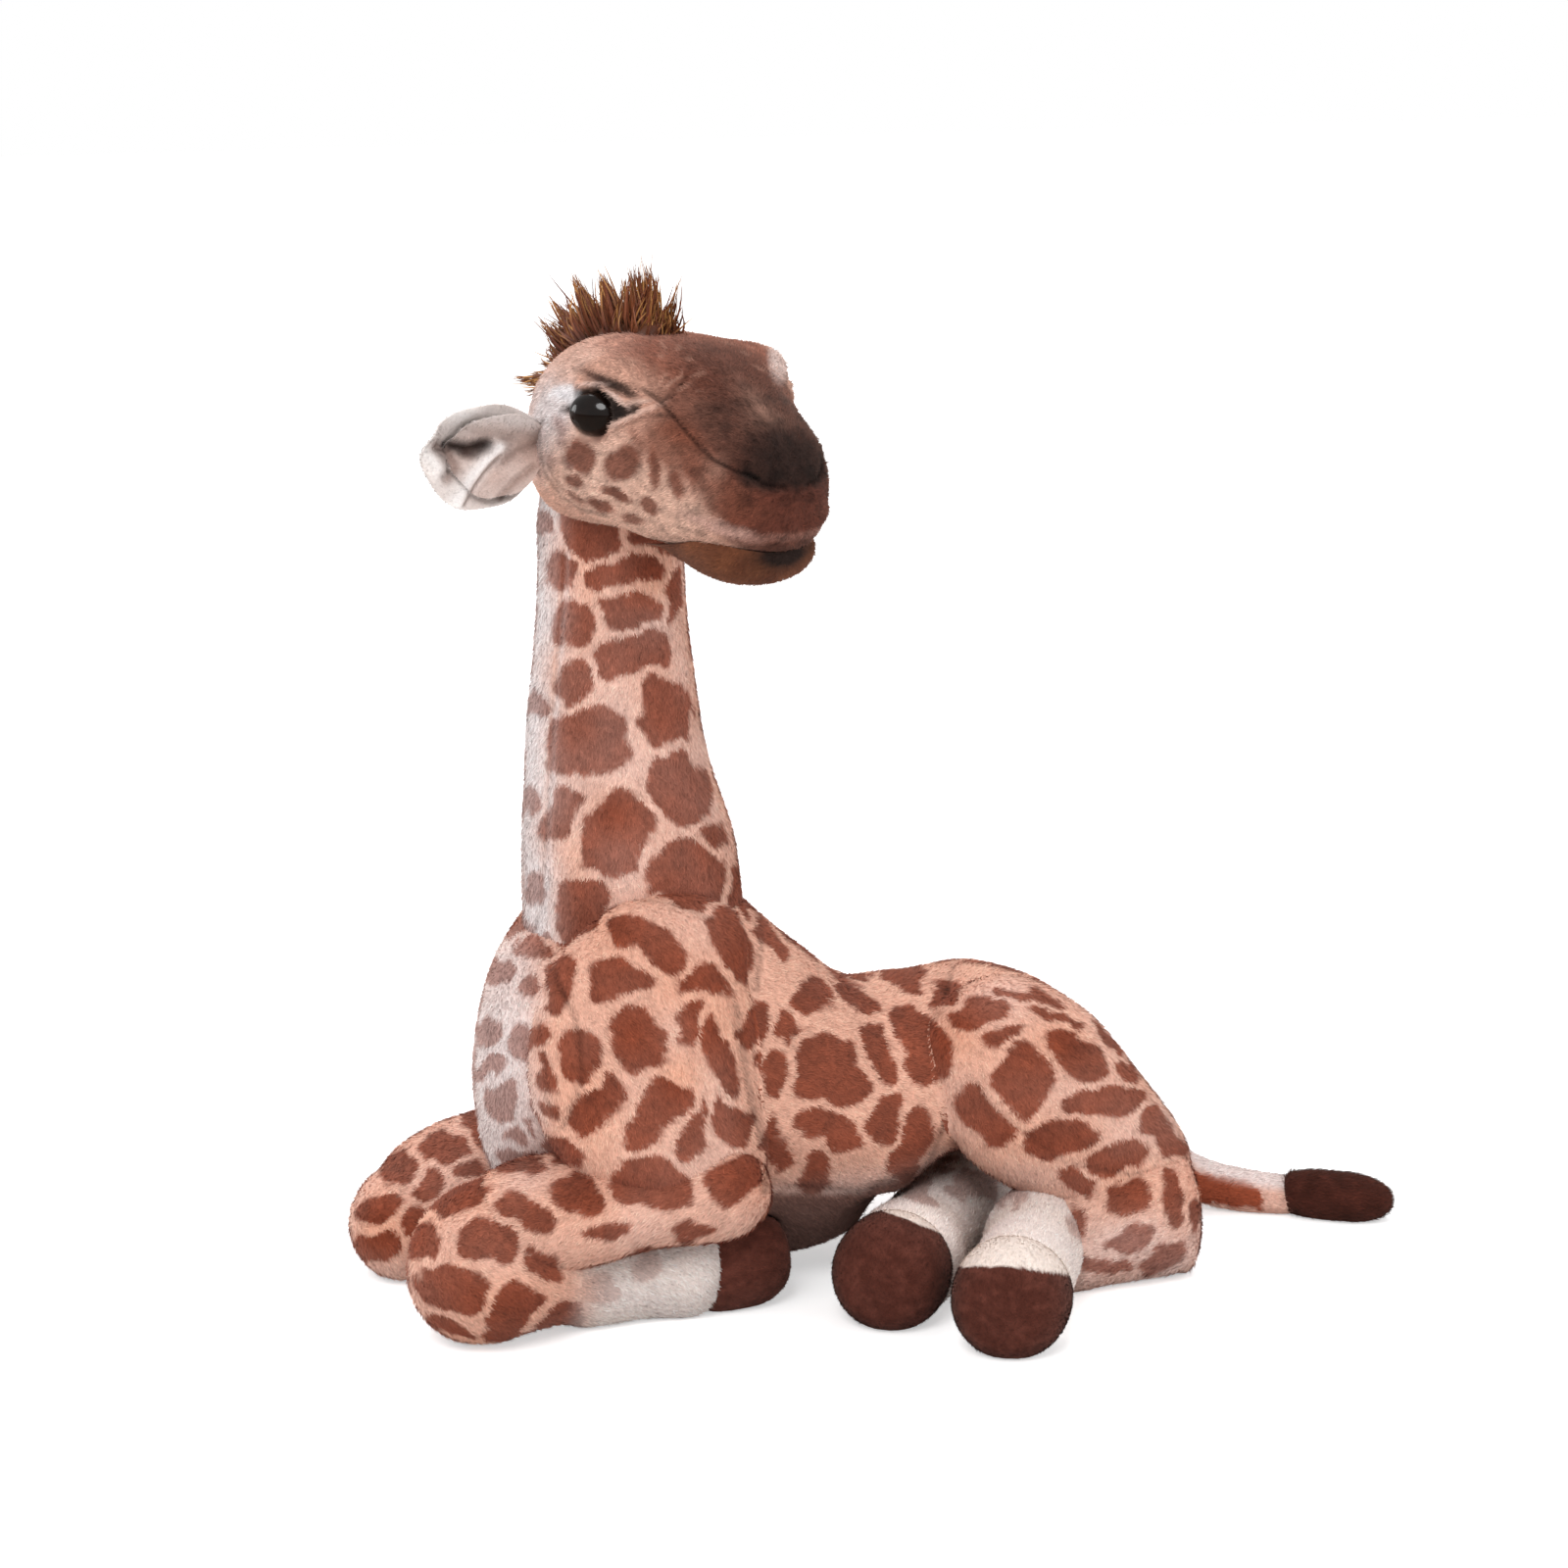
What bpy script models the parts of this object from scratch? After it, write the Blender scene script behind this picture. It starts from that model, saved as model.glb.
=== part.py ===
# Plush giraffe lying down with its head turned back over its left side.
# Metres, +Z up. The animal faces -X and its left side is -Y. The origin lies
# on the flat underside of the breast, where the toy rests on a surface.

import math

import bmesh
import bpy
from mathutils import Matrix, Vector

# Overall clearances
GAP = 0.0003            # between pieces that are sewn face to face
SEAM_GAP = 0.0005       # between a stuffed form and the larger one that shapes it
SOCKET_GAP = 0.0009     # round a root that turns in its seat
OVERRUN = 0.010         # how far a cutter reaches past what it cuts
FLOOR_DEPTH = 0.040     # depth of the block that flattens the underside
GROUND = 0.0            # height of the surface that the toy lies on

# Torso: one stuffed bag from chest to rump
TORSO_LENGTH = 0.240
TORSO_WIDTH = 0.104
TORSO_HEIGHT = 0.146
CHEST_REACH = 0.066     # from the origin forward to the breast
WITHERS_HEIGHT = 0.150  # height of the neck's seat

# Neck: leans a little about a root held in the torso
NECK_ROOT_RADIUS = 0.0395
NECK_ROOT_FLATNESS = 0.86
NECK_SETBACK = 0.010    # neck axis, forward of the origin
NECK_LENGTH = 0.134     # from the root's centre to the head's centre of turn
NECK_TOP_RADIUS = 0.0250
NECK_SWEEP = 0.007      # how far the neck's top lies forward of its root

# Head: turns on the ball at the neck's top
HEAD_TURN = math.radians(-74.0)
HEAD_LENGTH = 0.132
HEAD_WIDTH = 0.076
HEAD_HEIGHT = 0.076
HEAD_BACK = 0.028       # back of the skull, behind the neck's axis
CHIN_LENGTH = 0.056
CHIN_WIDTH = 0.040
CHIN_DEPTH = 0.022
CHIN_DROP_SHARE = 0.065
CHIN_FRONT_SHARE = 0.955

# Safety eyes, each a dome on a stem that a washer locks inside the head
EYE_RADIUS = 0.0078
EYE_BULGE = 0.0052
EYE_STEM_RADIUS = 0.0022
EYE_STEM_LENGTH = 0.0130
EYE_WALL = 0.0017       # straight rim behind the dome
EYE_STEPS = 5           # from the dome's pole to its rim
EYE_PLACE_SHARE = 0.515
EYE_SIDE_SHARE = 0.450
EYE_HEIGHT_SHARE = 0.52
EYE_AIM = math.radians(62.0)
EYE_LIFT = math.radians(4.0)
WASHER_RADIUS = 0.0070
WASHER_THICKNESS = 0.0018
WASHER_DEPTH = 0.0045   # behind the dome's back

# Ears
EAR_LENGTH = 0.042
EAR_WIDTH = 0.035
EAR_CUP = 0.013
EAR_WALL = 0.0024
LINING_WALL = 0.0014
LINING_SHARE = 0.82
LINING_GAP = 0.0009
EAR_ROOT_RADIUS = 0.0085
EAR_DROOP = math.radians(6.0)
EAR_BACK_SWEEP = math.radians(12.0)
EAR_PLACE_SHARE = 0.235
EAR_SIDE_SHARE = 0.425
EAR_HEIGHT_SHARE = 0.35

# Mane: a sewn strip of locks from the forehead to the nape
MANE_WIDTH = 0.010
MANE_BASE = 0.0040
LOCK_SEGMENTS = 6
LOCK_RADIUS = 0.0046
LOCK_TIP_RADIUS = 0.0004
LOCK_HEIGHT = 0.024
LOCK_SPLAY = math.radians(15.0)

# Forelegs, folded so that each cannon lies under its forearm
SHOULDER_HEIGHT = 0.115
LEFT_SHOULDER_REACH = 0.024   # pad's middle, forward of the origin
RIGHT_SHOULDER_REACH = 0.010
SHOULDER_SPREAD = 0.042
SHOULDER_WIDTH = 0.084
SHOULDER_DEPTH = 0.034
FOREARM_WIDTH = 0.042
FOREARM_DEPTH = 0.030
LEFT_KNEE_RADIUS = 0.0285
RIGHT_KNEE_RADIUS = 0.0215
LEFT_KNEE_REACH = 0.077   # knee centre, forward of the origin
RIGHT_KNEE_REACH = 0.084
LEFT_KNEE_SPREAD = 0.037  # knee centre, out from the middle plane
RIGHT_KNEE_SPREAD = 0.037
ELBOW_SETBACK = 0.002     # elbow, behind the origin
ELBOW_SPREAD = 0.051
CANNON_LENGTH = 0.078     # knee centre to the hoof's seam
CANNON_RADIUS = 0.0165
CANNON_SPLAY = math.radians(-2.0)
FRONT_HOOF_LENGTH = 0.032
FRONT_HOOF_SHARE = 0.98

# Hind legs, both feet brought out on the left side. The left haunch lies on
# top and the right one flatter, under the rump.
THIGH_WIDTH = 0.066
THIGH_DEPTH = 0.042
LEFT_HIP = (0.108, 0.040, 0.089)    # behind the origin, outward and up
RIGHT_HIP = (0.108, 0.036, 0.062)
LEFT_HOCK = (0.168, 0.060, 0.028)
RIGHT_HOCK = (0.172, 0.050, 0.026)
SHIN_RADIUS = 0.0250
ANKLE_RADIUS = 0.0190
LEFT_ANKLE = (0.124, 0.058)         # behind the origin, outward
LEFT_FOOT_LENGTH = 0.056
LEFT_FOOT_AIM = math.radians(236.5)
RIGHT_ANKLE = (0.138, 0.022)
RIGHT_FOOT_LENGTH = 0.112
RIGHT_FOOT_AIM = math.radians(230.5)
REAR_HOOF_LENGTH = 0.029
LEFT_FOOT_SWING_IN = math.radians(5.0)
LEFT_FOOT_SWING_OUT = math.radians(12.0)
RIGHT_FOOT_SWING = math.radians(4.0)
REAR_TUBE_SHARE = 0.93
REAR_HOOF_SHARE = 0.96

# Tail
TAIL_REST_SHARE = 0.94   # the tail's lowest part, over its radius
TAIL_ROOT_RADIUS = 0.0110
TAIL_ROOT_SHARE = 0.70  # root's reach behind the origin, over the torso's length
TAIL_ROOT_REACH = TORSO_LENGTH * TAIL_ROOT_SHARE
TAIL_ROOT_HEIGHT = 0.058
TAIL_LENGTH = 0.112     # along the surface, root to the end of the tuft
TAIL_RADIUS = 0.0075
TAIL_BEND = 0.044       # how far the tip curves to the left
TUFT_LENGTH = 0.036
TUFT_RADIUS = 0.0088

BODY_SIDES = 8          # corners round the cage of the torso, neck and head
LIMB_SIDES = 6          # corners round the cage of a limb
BALL_SEGMENTS = 12
SMALL_BALL_SEGMENTS = 10
TURN_STEPS = 16

TORSO_FULLNESS = 2.2    # how square a section is; 2 is an ellipse
HEAD_FULLNESS = 2.5

# A stuffed form's table: place along the length, height of its middle, and
# half width and half height, each as a share of the length, width or height.
# A fifth share draws the section in below its middle.
TORSO_SHARES = (
    (0.004, 0.63, 0.12, 0.13, 0.00),
    (0.040, 0.61, 0.32, 0.31, 0.30),
    (0.140, 0.55, 0.45, 0.470, 0.50),
    (0.300, 0.49, 0.50, 0.545, 0.50),
    (0.430, 0.445, 0.50, 0.430, 0.40),
    (0.550, 0.400, 0.50, 0.330, 0.15),
    (0.690, 0.485, 0.48, 0.222, 0.00),
    (0.830, 0.500, 0.44, 0.205, 0.00),
    (0.965, 0.430, 0.26, 0.130, 0.00),
    (1.000, 0.415, 0.10, 0.045, 0.00),
)
# Along the neck from its root: forward sweep, half width, half depth over
# the root's radius
NECK_SHARES = (
    (-0.10, -0.05, 0.80, 0.95),
    (0.06, 0.10, 0.84, 0.97),
    (0.34, 0.80, 0.74, 0.80),
    (0.86, 1.00, 0.640, 0.645),
    (1.00, 1.00, 0.60, 0.60),
)
HEAD_SHARES = (
    (0.025, 0.37, 0.10, 0.13),
    (0.065, 0.355, 0.26, 0.315),
    (0.200, 0.365, 0.405, 0.430),
    (0.450, 0.38, 0.52, 0.455),
    (0.620, 0.35, 0.48, 0.450),
    (0.780, 0.27, 0.35, 0.365),
    (0.940, 0.175, 0.255, 0.245),
    (1.000, 0.13, 0.125, 0.120),
)
CHIN_SHARES = (
    (0.00, 0.20, 0.25, 0.16),
    (0.40, 0.06, 0.48, 0.43),
    (0.92, 0.04, 0.40, 0.40),
    (1.00, 0.10, 0.18, 0.20),
)
# Down the shoulder pad: height, forward place, outward place, half breadth,
# half thickness
SHOULDER_SHARES = (
    (1.03, 0.12, -0.30, 0.12, 0.12),
    (0.95, 0.10, -0.20, 0.34, 0.32),
    (0.70, 0.02, 0.02, 0.48, 0.47),
    (0.40, 0.04, 0.14, 0.47, 0.54),
    (0.12, 0.21, 0.20, 0.32, 0.51),
    (0.00, 0.27, 0.20, 0.18, 0.34),
)
# From the elbow to the knee: place, half width, half depth, lift
FOREARM_SHARES = (
    (-0.22, 0.22, 0.24, 0.04),
    (-0.14, 0.45, 0.50, 0.06),
    (0.30, 0.53, 0.58, 0.04),
    (1.02, 0.46, 0.46, 0.00),
    (1.08, 0.30, 0.30, 0.00),
)
# From the hip to the hock: place, outward place, half breadth, half thickness
THIGH_SHARES = (
    (-0.18, -0.12, 0.14, 0.16),
    (-0.09, -0.03, 0.36, 0.37),
    (0.22, 0.08, 0.51, 0.49),
    (0.62, 0.10, 0.44, 0.49),
    (1.00, 0.00, 0.30, 0.40),
    (1.10, 0.00, 0.14, 0.20),
)
# Along a tube from its ball to its seam, over the tube's radius
TUBE_SHARES = (
    (0.00, 0.94),
    (0.50, 1.02),
    (1.10, 1.00),
)
SHIN_SHARES = (
    (-0.30, 0.45),
    (-0.20, 0.90),
    (0.36, 1.05),
    (0.98, 0.66),
)
HOOF_SHARES = (
    (-0.25, 1.00),
    (0.40, 1.14),
    (0.96, 0.74),
    (1.02, 0.36),
)
# Along the tail's tuft from its seam
TUFT_SHARES = (
    (-0.20, 0.85),
    (0.45, 1.10),
    (0.98, 0.72),
    (1.03, 0.36),
)
# Along the tail: place, bend, fall from the root's height, radius
TAIL_SHARES = (
    (-0.04, 0.00, 0.00, 1.15),
    (0.12, -0.03, 0.12, 1.30),
    (0.40, -0.02, 0.86, 1.12),
    (0.72, 0.46, 1.00, 0.94),
    (0.86, 0.76, 1.00, 0.94),
)
# Along an ear from its root: half width, over the widest
EAR_SHARES = (
    (0.00, 0.36),
    (0.22, 0.70),
    (0.52, 1.00),
    (0.82, 0.84),
    (1.00, 0.34),
)
# Across an ear from its middle: how far it curls forward
EAR_CURL_SHARES = (
    (0.00, 0.20),
    (0.50, 0.20),
    (1.00, 1.00),
)
# Along the mane on the head's top: place and height as shares of the head
MANE_SHARES = (
    (0.46, 0.812),
    (0.36, 0.822),
    (0.26, 0.800),
    (0.17, 0.752),
    (0.10, 0.690),
    (0.035, 0.565),
)
# Each lock of the mane: its height, and its lean to one side
LOCK_SHARES = (
    (0.62, 0.9),
    (0.86, 0.5),
    (1.00, -0.3),
    (0.92, 0.4),
    (1.06, -0.6),
    (0.84, 0.2),
    (0.98, -0.2),
    (0.90, 0.6),
    (1.02, -0.5),
    (0.80, 0.3),
    (0.92, -0.7),
    (0.74, 0.5),
    (0.66, -0.4),
    (0.52, 0.6),
    (0.44, -0.3),
)

for existing in list(bpy.data.objects):
    bpy.data.objects.remove(existing, do_unlink=True)

giraffe = bpy.data.collections.new("plush_giraffe")
cutters = bpy.data.collections.new("cutters")
bpy.context.scene.collection.children.link(giraffe)
bpy.context.scene.collection.children.link(cutters)


def material(name, colour, roughness):
    """A plain surface finish with the piece's colour."""
    finish = bpy.data.materials.new(name)
    finish.use_nodes = True
    shader = finish.node_tree.nodes["Principled BSDF"]
    shader.inputs["Base Color"].default_value = (*colour, 1.0)
    shader.inputs["Roughness"].default_value = roughness
    shader.inputs["Metallic"].default_value = 0.0
    return finish


PLUSH = (0.42, 0.20, 0.13)
CREAM = (0.72, 0.58, 0.47)
DARK_BROWN = (0.055, 0.022, 0.016)
VELOUR = (0.70, 0.61, 0.55)
MANE_BROWN = (0.19, 0.065, 0.025)
GLOSSY_BLACK = (0.010, 0.008, 0.008)
NYLON_WHITE = (0.75, 0.75, 0.72)


def make_object(name, mesh, finish, home):
    thing = bpy.data.objects.new(name, mesh)
    home.objects.link(thing)
    if finish is not None:
        mesh.materials.append(finish)
    if home is cutters:
        thing.hide_render = True
        thing.display_type = "WIRE"
    mesh.shade_smooth()
    return thing


def pivot(name, point, turn, parent):
    """An empty on a joint's axis that carries the pieces of a moving body."""
    empty = bpy.data.objects.new(name, None)
    empty.empty_display_size = OVERRUN
    giraffe.objects.link(empty)
    empty.parent = parent
    empty.location = point
    empty.rotation_euler = (0.0, 0.0, turn)
    return empty


def ring_frame(rows, index, upward, straight):
    """Unit vectors along, across and up at one of a path's rows.

    A straight form keeps its rings parallel, square to the line between its
    ends. A bent one turns each ring square to its path.
    """
    last = len(rows) - 1
    ahead = rows[last if straight else min(index + 1, last)][0]
    behind = rows[0 if straight else max(index - 1, 0)][0]
    along = (ahead - behind).normalized()
    across = along.cross(upward).normalized()
    return along, across, across.cross(along)


def full(value, fullness):
    """A sine or cosine made fuller, for a section between round and square."""
    return math.copysign(abs(value) ** (2.0 / fullness), value)


def stuffed(
    name,
    rows,
    finish,
    home,
    upward=Vector((0.0, 0.0, 1.0)),
    grow=0.0,
    sides=LIMB_SIDES,
    fullness=2.0,
    straight=True,
):
    """A stuffed bag: rings of given half width and half height along a path.

    Each row holds a centre point, a half width, a half height and, where the
    section is drawn in below its middle, by what share. The cage of
    rings closes at both ends, and Subdivision Surface rounds it. A fullness
    over 2 makes the section squarer than an ellipse.
    """
    shape = bmesh.new()
    rings = []
    swell = 3.0 / (2.0 + math.cos(2.0 * math.pi / sides))
    for index, (centre, half_width, half_height, *keel_share) in enumerate(rows):
        keel = keel_share[0] if keel_share else 0.0
        along, across, up = ring_frame(rows, index, upward, straight)
        shift = along * (grow * (index == len(rows) - 1) - grow * (index == 0))
        ring = []
        for corner in range(sides):
            angle = 2.0 * math.pi * corner / sides
            drawn_in = 1.0 - keel * max(0.0, -math.sin(angle))
            side = across * (full(math.cos(angle), fullness) * (half_width * drawn_in + grow) * swell)
            rise = up * (full(math.sin(angle), fullness) * (half_height + grow) * swell)
            ring.append(shape.verts.new(centre + shift + side + rise))
        rings.append(ring)
    for first, second in zip(rings, rings[1:]):
        for corner in range(sides):
            after = (corner + 1) % sides
            shape.faces.new((first[corner], second[corner], second[after], first[after]))
    shape.faces.new(rings[0])
    shape.faces.new(list(reversed(rings[-1])))
    bmesh.ops.recalc_face_normals(shape, faces=shape.faces)
    mesh = bpy.data.meshes.new(name)
    shape.to_mesh(mesh)
    shape.free()
    thing = make_object(name, mesh, finish, home)
    soften = thing.modifiers.new("stuffing", "SUBSURF")
    soften.levels = 1
    soften.render_levels = 1
    return thing


def ball(name, centre, radius, home, finish=None, flatness=1.0, axis="Z", segments=BALL_SEGMENTS):
    """A ball, or one flattened along its own axis."""
    shape = bmesh.new()
    bmesh.ops.create_uvsphere(shape, u_segments=segments, v_segments=segments // 2, radius=radius)
    turn = Matrix.Rotation(math.pi / 2.0, 4, "X") if axis == "Y" else Matrix.Identity(4)
    bmesh.ops.scale(shape, vec=(1.0, 1.0, flatness), verts=shape.verts)
    bmesh.ops.transform(shape, matrix=turn, verts=shape.verts)
    mesh = bpy.data.meshes.new(name)
    shape.to_mesh(mesh)
    shape.free()
    thing = make_object(name, mesh, finish, home)
    thing.location = centre
    return thing


def block(name, low, high):
    """A box between two corners, used to cut."""
    shape = bmesh.new()
    bmesh.ops.create_cube(shape, size=1.0)
    mesh = bpy.data.meshes.new(name)
    size = Vector(high) - Vector(low)
    bmesh.ops.scale(shape, vec=size, verts=shape.verts)
    shape.to_mesh(mesh)
    shape.free()
    thing = make_object(name, mesh, None, cutters)
    thing.location = (Vector(low) + Vector(high)) / 2.0
    return thing


def drum(name, centre, radius, height):
    """An upright cylinder standing on its centre point, used to cut."""
    shape = bmesh.new()
    bmesh.ops.create_cone(
        shape, cap_ends=True, segments=BALL_SEGMENTS, radius1=radius, radius2=radius, depth=height
    )
    mesh = bpy.data.meshes.new(name)
    shape.to_mesh(mesh)
    shape.free()
    thing = make_object(name, mesh, None, cutters)
    thing.location = centre + Vector((0.0, 0.0, height / 2.0))
    return thing


def cut(thing, cutter):
    step = thing.modifiers.new("cut " + cutter.name, "BOOLEAN")
    step.operation = "DIFFERENCE"
    step.object = cutter
    step.solver = "EXACT"


def join(thing, other):
    step = thing.modifiers.new("join " + other.name, "BOOLEAN")
    step.operation = "UNION"
    step.object = other
    step.solver = "EXACT"


def turned(name, profile, finish, home, steps=TURN_STEPS):
    """A shape turned about its own Z axis from a profile of radius and height."""
    mesh = bpy.data.meshes.new(name)
    points = [(radius, 0.0, height) for radius, height in profile]
    edges = [(index, index + 1) for index in range(len(points) - 1)]
    mesh.from_pydata(points, edges, [])
    thing = make_object(name, mesh, finish, home)
    screw = thing.modifiers.new("turn", "SCREW")
    screw.axis = "Z"
    screw.steps = steps
    screw.render_steps = steps
    screw.use_merge_vertices = True
    screw.merge_threshold = GAP / 10.0
    return thing


def keep_place(thing, parent):
    """Carry a piece on a pivot without moving it, its origin on the pivot."""
    world = parent_matrix(parent)
    if thing.data is not None:
        thing.data.transform(world.inverted() @ thing.matrix_basis)
        thing.matrix_basis = Matrix.Identity(4)
    thing.parent = parent


def parent_matrix(item):
    place = item.matrix_basis.copy()
    while item.parent is not None:
        item = item.parent
        place = item.matrix_basis @ place
    return place


def at(x, y, z):
    return Vector((x, y, z))


# Pivots: neck root, head, ears, knees, ankles and tail root
neck_root = at(-NECK_SETBACK, 0.0, WITHERS_HEIGHT)
neck_pivot = pivot("neck_pivot", neck_root, 0.0, None)
head_pivot = pivot("head_pivot", at(-NECK_SWEEP, 0.0, NECK_LENGTH), HEAD_TURN, neck_pivot)
head_place = parent_matrix(head_pivot)

floor_cutter = block(
    "floor_cutter",
    (-TORSO_LENGTH - OVERRUN, -TORSO_LENGTH, GROUND - FLOOR_DEPTH),
    (TORSO_LENGTH * 2.0, TORSO_LENGTH, GROUND),
)


# Torso
def torso_rows():
    rows = []
    for place, middle, half_width, half_height, keel in TORSO_SHARES:
        centre = at(place * TORSO_LENGTH - CHEST_REACH, 0.0, middle * TORSO_HEIGHT)
        rows.append((centre, half_width * TORSO_WIDTH, half_height * TORSO_HEIGHT, keel))
    return rows


torso = stuffed(
    "torso",
    torso_rows(),
    material("torso plush", PLUSH, 0.95),
    giraffe,
    sides=BODY_SIDES,
    fullness=TORSO_FULLNESS,
)
torso_clearance = stuffed(
    "torso_clearance",
    torso_rows(),
    None,
    cutters,
    grow=SEAM_GAP,
    sides=BODY_SIDES,
    fullness=TORSO_FULLNESS,
)
neck_seat = ball(
    "neck_seat", neck_root, NECK_ROOT_RADIUS + SOCKET_GAP, cutters, flatness=NECK_ROOT_FLATNESS, axis="Y"
)
cut(torso, neck_seat)
cut(torso, floor_cutter)


# Neck
def neck_rows():
    rows = []
    for place, sweep, half_width, half_depth in NECK_SHARES:
        centre = neck_root + at(-sweep * NECK_SWEEP, 0.0, place * NECK_LENGTH)
        rows.append((centre, half_width * NECK_ROOT_RADIUS, half_depth * NECK_ROOT_RADIUS))
    return rows


neck = stuffed(
    "neck",
    neck_rows(),
    material("neck plush", PLUSH, 0.95),
    giraffe,
    upward=at(1.0, 0.0, 0.0),
    sides=BODY_SIDES,
)
neck_root_ball = ball(
    "neck_root_ball", neck_root, NECK_ROOT_RADIUS, cutters, flatness=NECK_ROOT_FLATNESS, axis="Y"
)
neck_top = head_place.translation
neck_top_ball = ball("neck_top_ball", neck_top, NECK_TOP_RADIUS, cutters)
join(neck, neck_root_ball)
join(neck, neck_top_ball)
keep_place(neck, neck_pivot)


# Head
def head_point(place, side, height):
    """A point of the head from its own length, width and height shares."""
    local = at(place * HEAD_LENGTH - HEAD_BACK, side * HEAD_WIDTH, height * HEAD_HEIGHT)
    return head_place @ local


def head_rows():
    rows = []
    for place, middle, half_width, half_height in HEAD_SHARES:
        rows.append((head_point(place, 0.0, middle), half_width * HEAD_WIDTH, half_height * HEAD_HEIGHT))
    return rows


head = stuffed(
    "head",
    head_rows(),
    material("head plush", PLUSH, 0.95),
    giraffe,
    sides=BODY_SIDES,
    fullness=HEAD_FULLNESS,
)
head_clearance = stuffed(
    "head_clearance",
    head_rows(),
    None,
    cutters,
    grow=SEAM_GAP,
    sides=BODY_SIDES,
    fullness=HEAD_FULLNESS,
)
head_seat = ball("head_seat", neck_top, NECK_TOP_RADIUS + SOCKET_GAP, cutters)
bore_depth = NECK_LENGTH / 2.0
bore_foot = neck_top - at(0.0, 0.0, bore_depth)
head_bore = drum("head_bore", bore_foot, NECK_TOP_RADIUS + SOCKET_GAP * 2.0, bore_depth)
cut(head, head_seat)
cut(head, head_bore)


# Chin: the lower jaw, sewn under the muzzle
def chin_rows():
    rows = []
    front = head_point(CHIN_FRONT_SHARE, 0.0, 0.0)
    forward = head_place.to_3x3() @ at(1.0, 0.0, 0.0)
    for place, rise, half_width, half_height in CHIN_SHARES:
        centre = front + forward * ((place - 1.0) * CHIN_LENGTH)
        centre = centre - at(0.0, 0.0, HEAD_HEIGHT * CHIN_DROP_SHARE - rise * CHIN_DEPTH)
        rows.append((centre, half_width * CHIN_WIDTH, half_height * CHIN_DEPTH))
    return rows


chin = stuffed("chin", chin_rows(), material("chin plush", PLUSH, 0.95), giraffe)
cut(chin, head_clearance)


# Eyes and washers
def eye_profile(grow):
    """Dome, back and stem, from the dome's pole to the stem's end."""
    points = []
    for step in range(EYE_STEPS + 1):
        angle = math.pi / 2.0 * (1.0 - step / EYE_STEPS)
        radius = (EYE_RADIUS + grow) * math.cos(angle)
        points.append((max(radius, 0.0), (EYE_BULGE + grow) * math.sin(angle)))
    points.append((EYE_RADIUS + grow, -EYE_WALL - grow))
    points.append((EYE_STEM_RADIUS + grow, -EYE_WALL - grow))
    return points


def eye_points():
    profile = eye_profile(0.0)
    profile.append((EYE_STEM_RADIUS, -EYE_STEM_LENGTH))
    profile.append((0.0, -EYE_STEM_LENGTH))
    return profile


def eye_seat_points():
    """The eye's seat, its stem's bore and the room for the washer."""
    low = -WASHER_DEPTH - WASHER_THICKNESS
    profile = [(0.0, EYE_BULGE * 2.0), (EYE_RADIUS + GAP, EYE_BULGE * 2.0)]
    profile.append((EYE_RADIUS + GAP, -EYE_WALL - GAP))
    profile.append((EYE_STEM_RADIUS + GAP, -EYE_WALL - GAP))
    profile.append((EYE_STEM_RADIUS + GAP, -WASHER_DEPTH + GAP))
    profile.append((WASHER_RADIUS + GAP, -WASHER_DEPTH + GAP))
    profile.append((WASHER_RADIUS + GAP, low - GAP))
    profile.append((EYE_STEM_RADIUS + GAP, low - GAP))
    profile.append((EYE_STEM_RADIUS + GAP, -EYE_STEM_LENGTH - GAP))
    profile.append((0.0, -EYE_STEM_LENGTH - GAP))
    return profile


def washer_points():
    low = -WASHER_DEPTH - WASHER_THICKNESS
    inner = EYE_STEM_RADIUS + GAP
    return [
        (inner, -WASHER_DEPTH),
        (WASHER_RADIUS, -WASHER_DEPTH),
        (WASHER_RADIUS, low),
        (inner, low),
        (inner, -WASHER_DEPTH),
    ]


for side, sign in (("left", 1.0), ("right", -1.0)):
    spot = head_point(EYE_PLACE_SHARE, sign * EYE_SIDE_SHARE, EYE_HEIGHT_SHARE)
    aimed = Matrix.Rotation(sign * EYE_AIM, 4, "Z")
    outward = aimed @ Matrix.Rotation(math.pi / 2.0 - EYE_LIFT, 4, "Y")
    stance = Matrix.Translation(spot) @ head_place.to_3x3().to_4x4() @ outward
    glossy = material("eye " + side, GLOSSY_BLACK, 0.05)
    nylon = material("washer " + side, NYLON_WHITE, 0.4)
    eye = turned("eye_" + side, eye_points(), glossy, giraffe)
    washer = turned("eye_washer_" + side, washer_points(), nylon, giraffe)
    seat = turned("eye_seat_" + side, eye_seat_points(), None, cutters)
    for piece in (eye, washer, seat):
        piece.matrix_basis = stance
    cut(head, seat)
    for piece in (eye, washer):
        piece.matrix_basis = head_place.inverted() @ stance
        piece.parent = head_pivot


# Ears
def between(table, place):
    """A value at a place, on straight lines between a table's rows."""
    for (near, first), (far, second) in zip(table, table[1:]):
        if place <= far:
            return first + (second - first) * (place - near) / (far - near)
    return table[-1][1]


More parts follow.
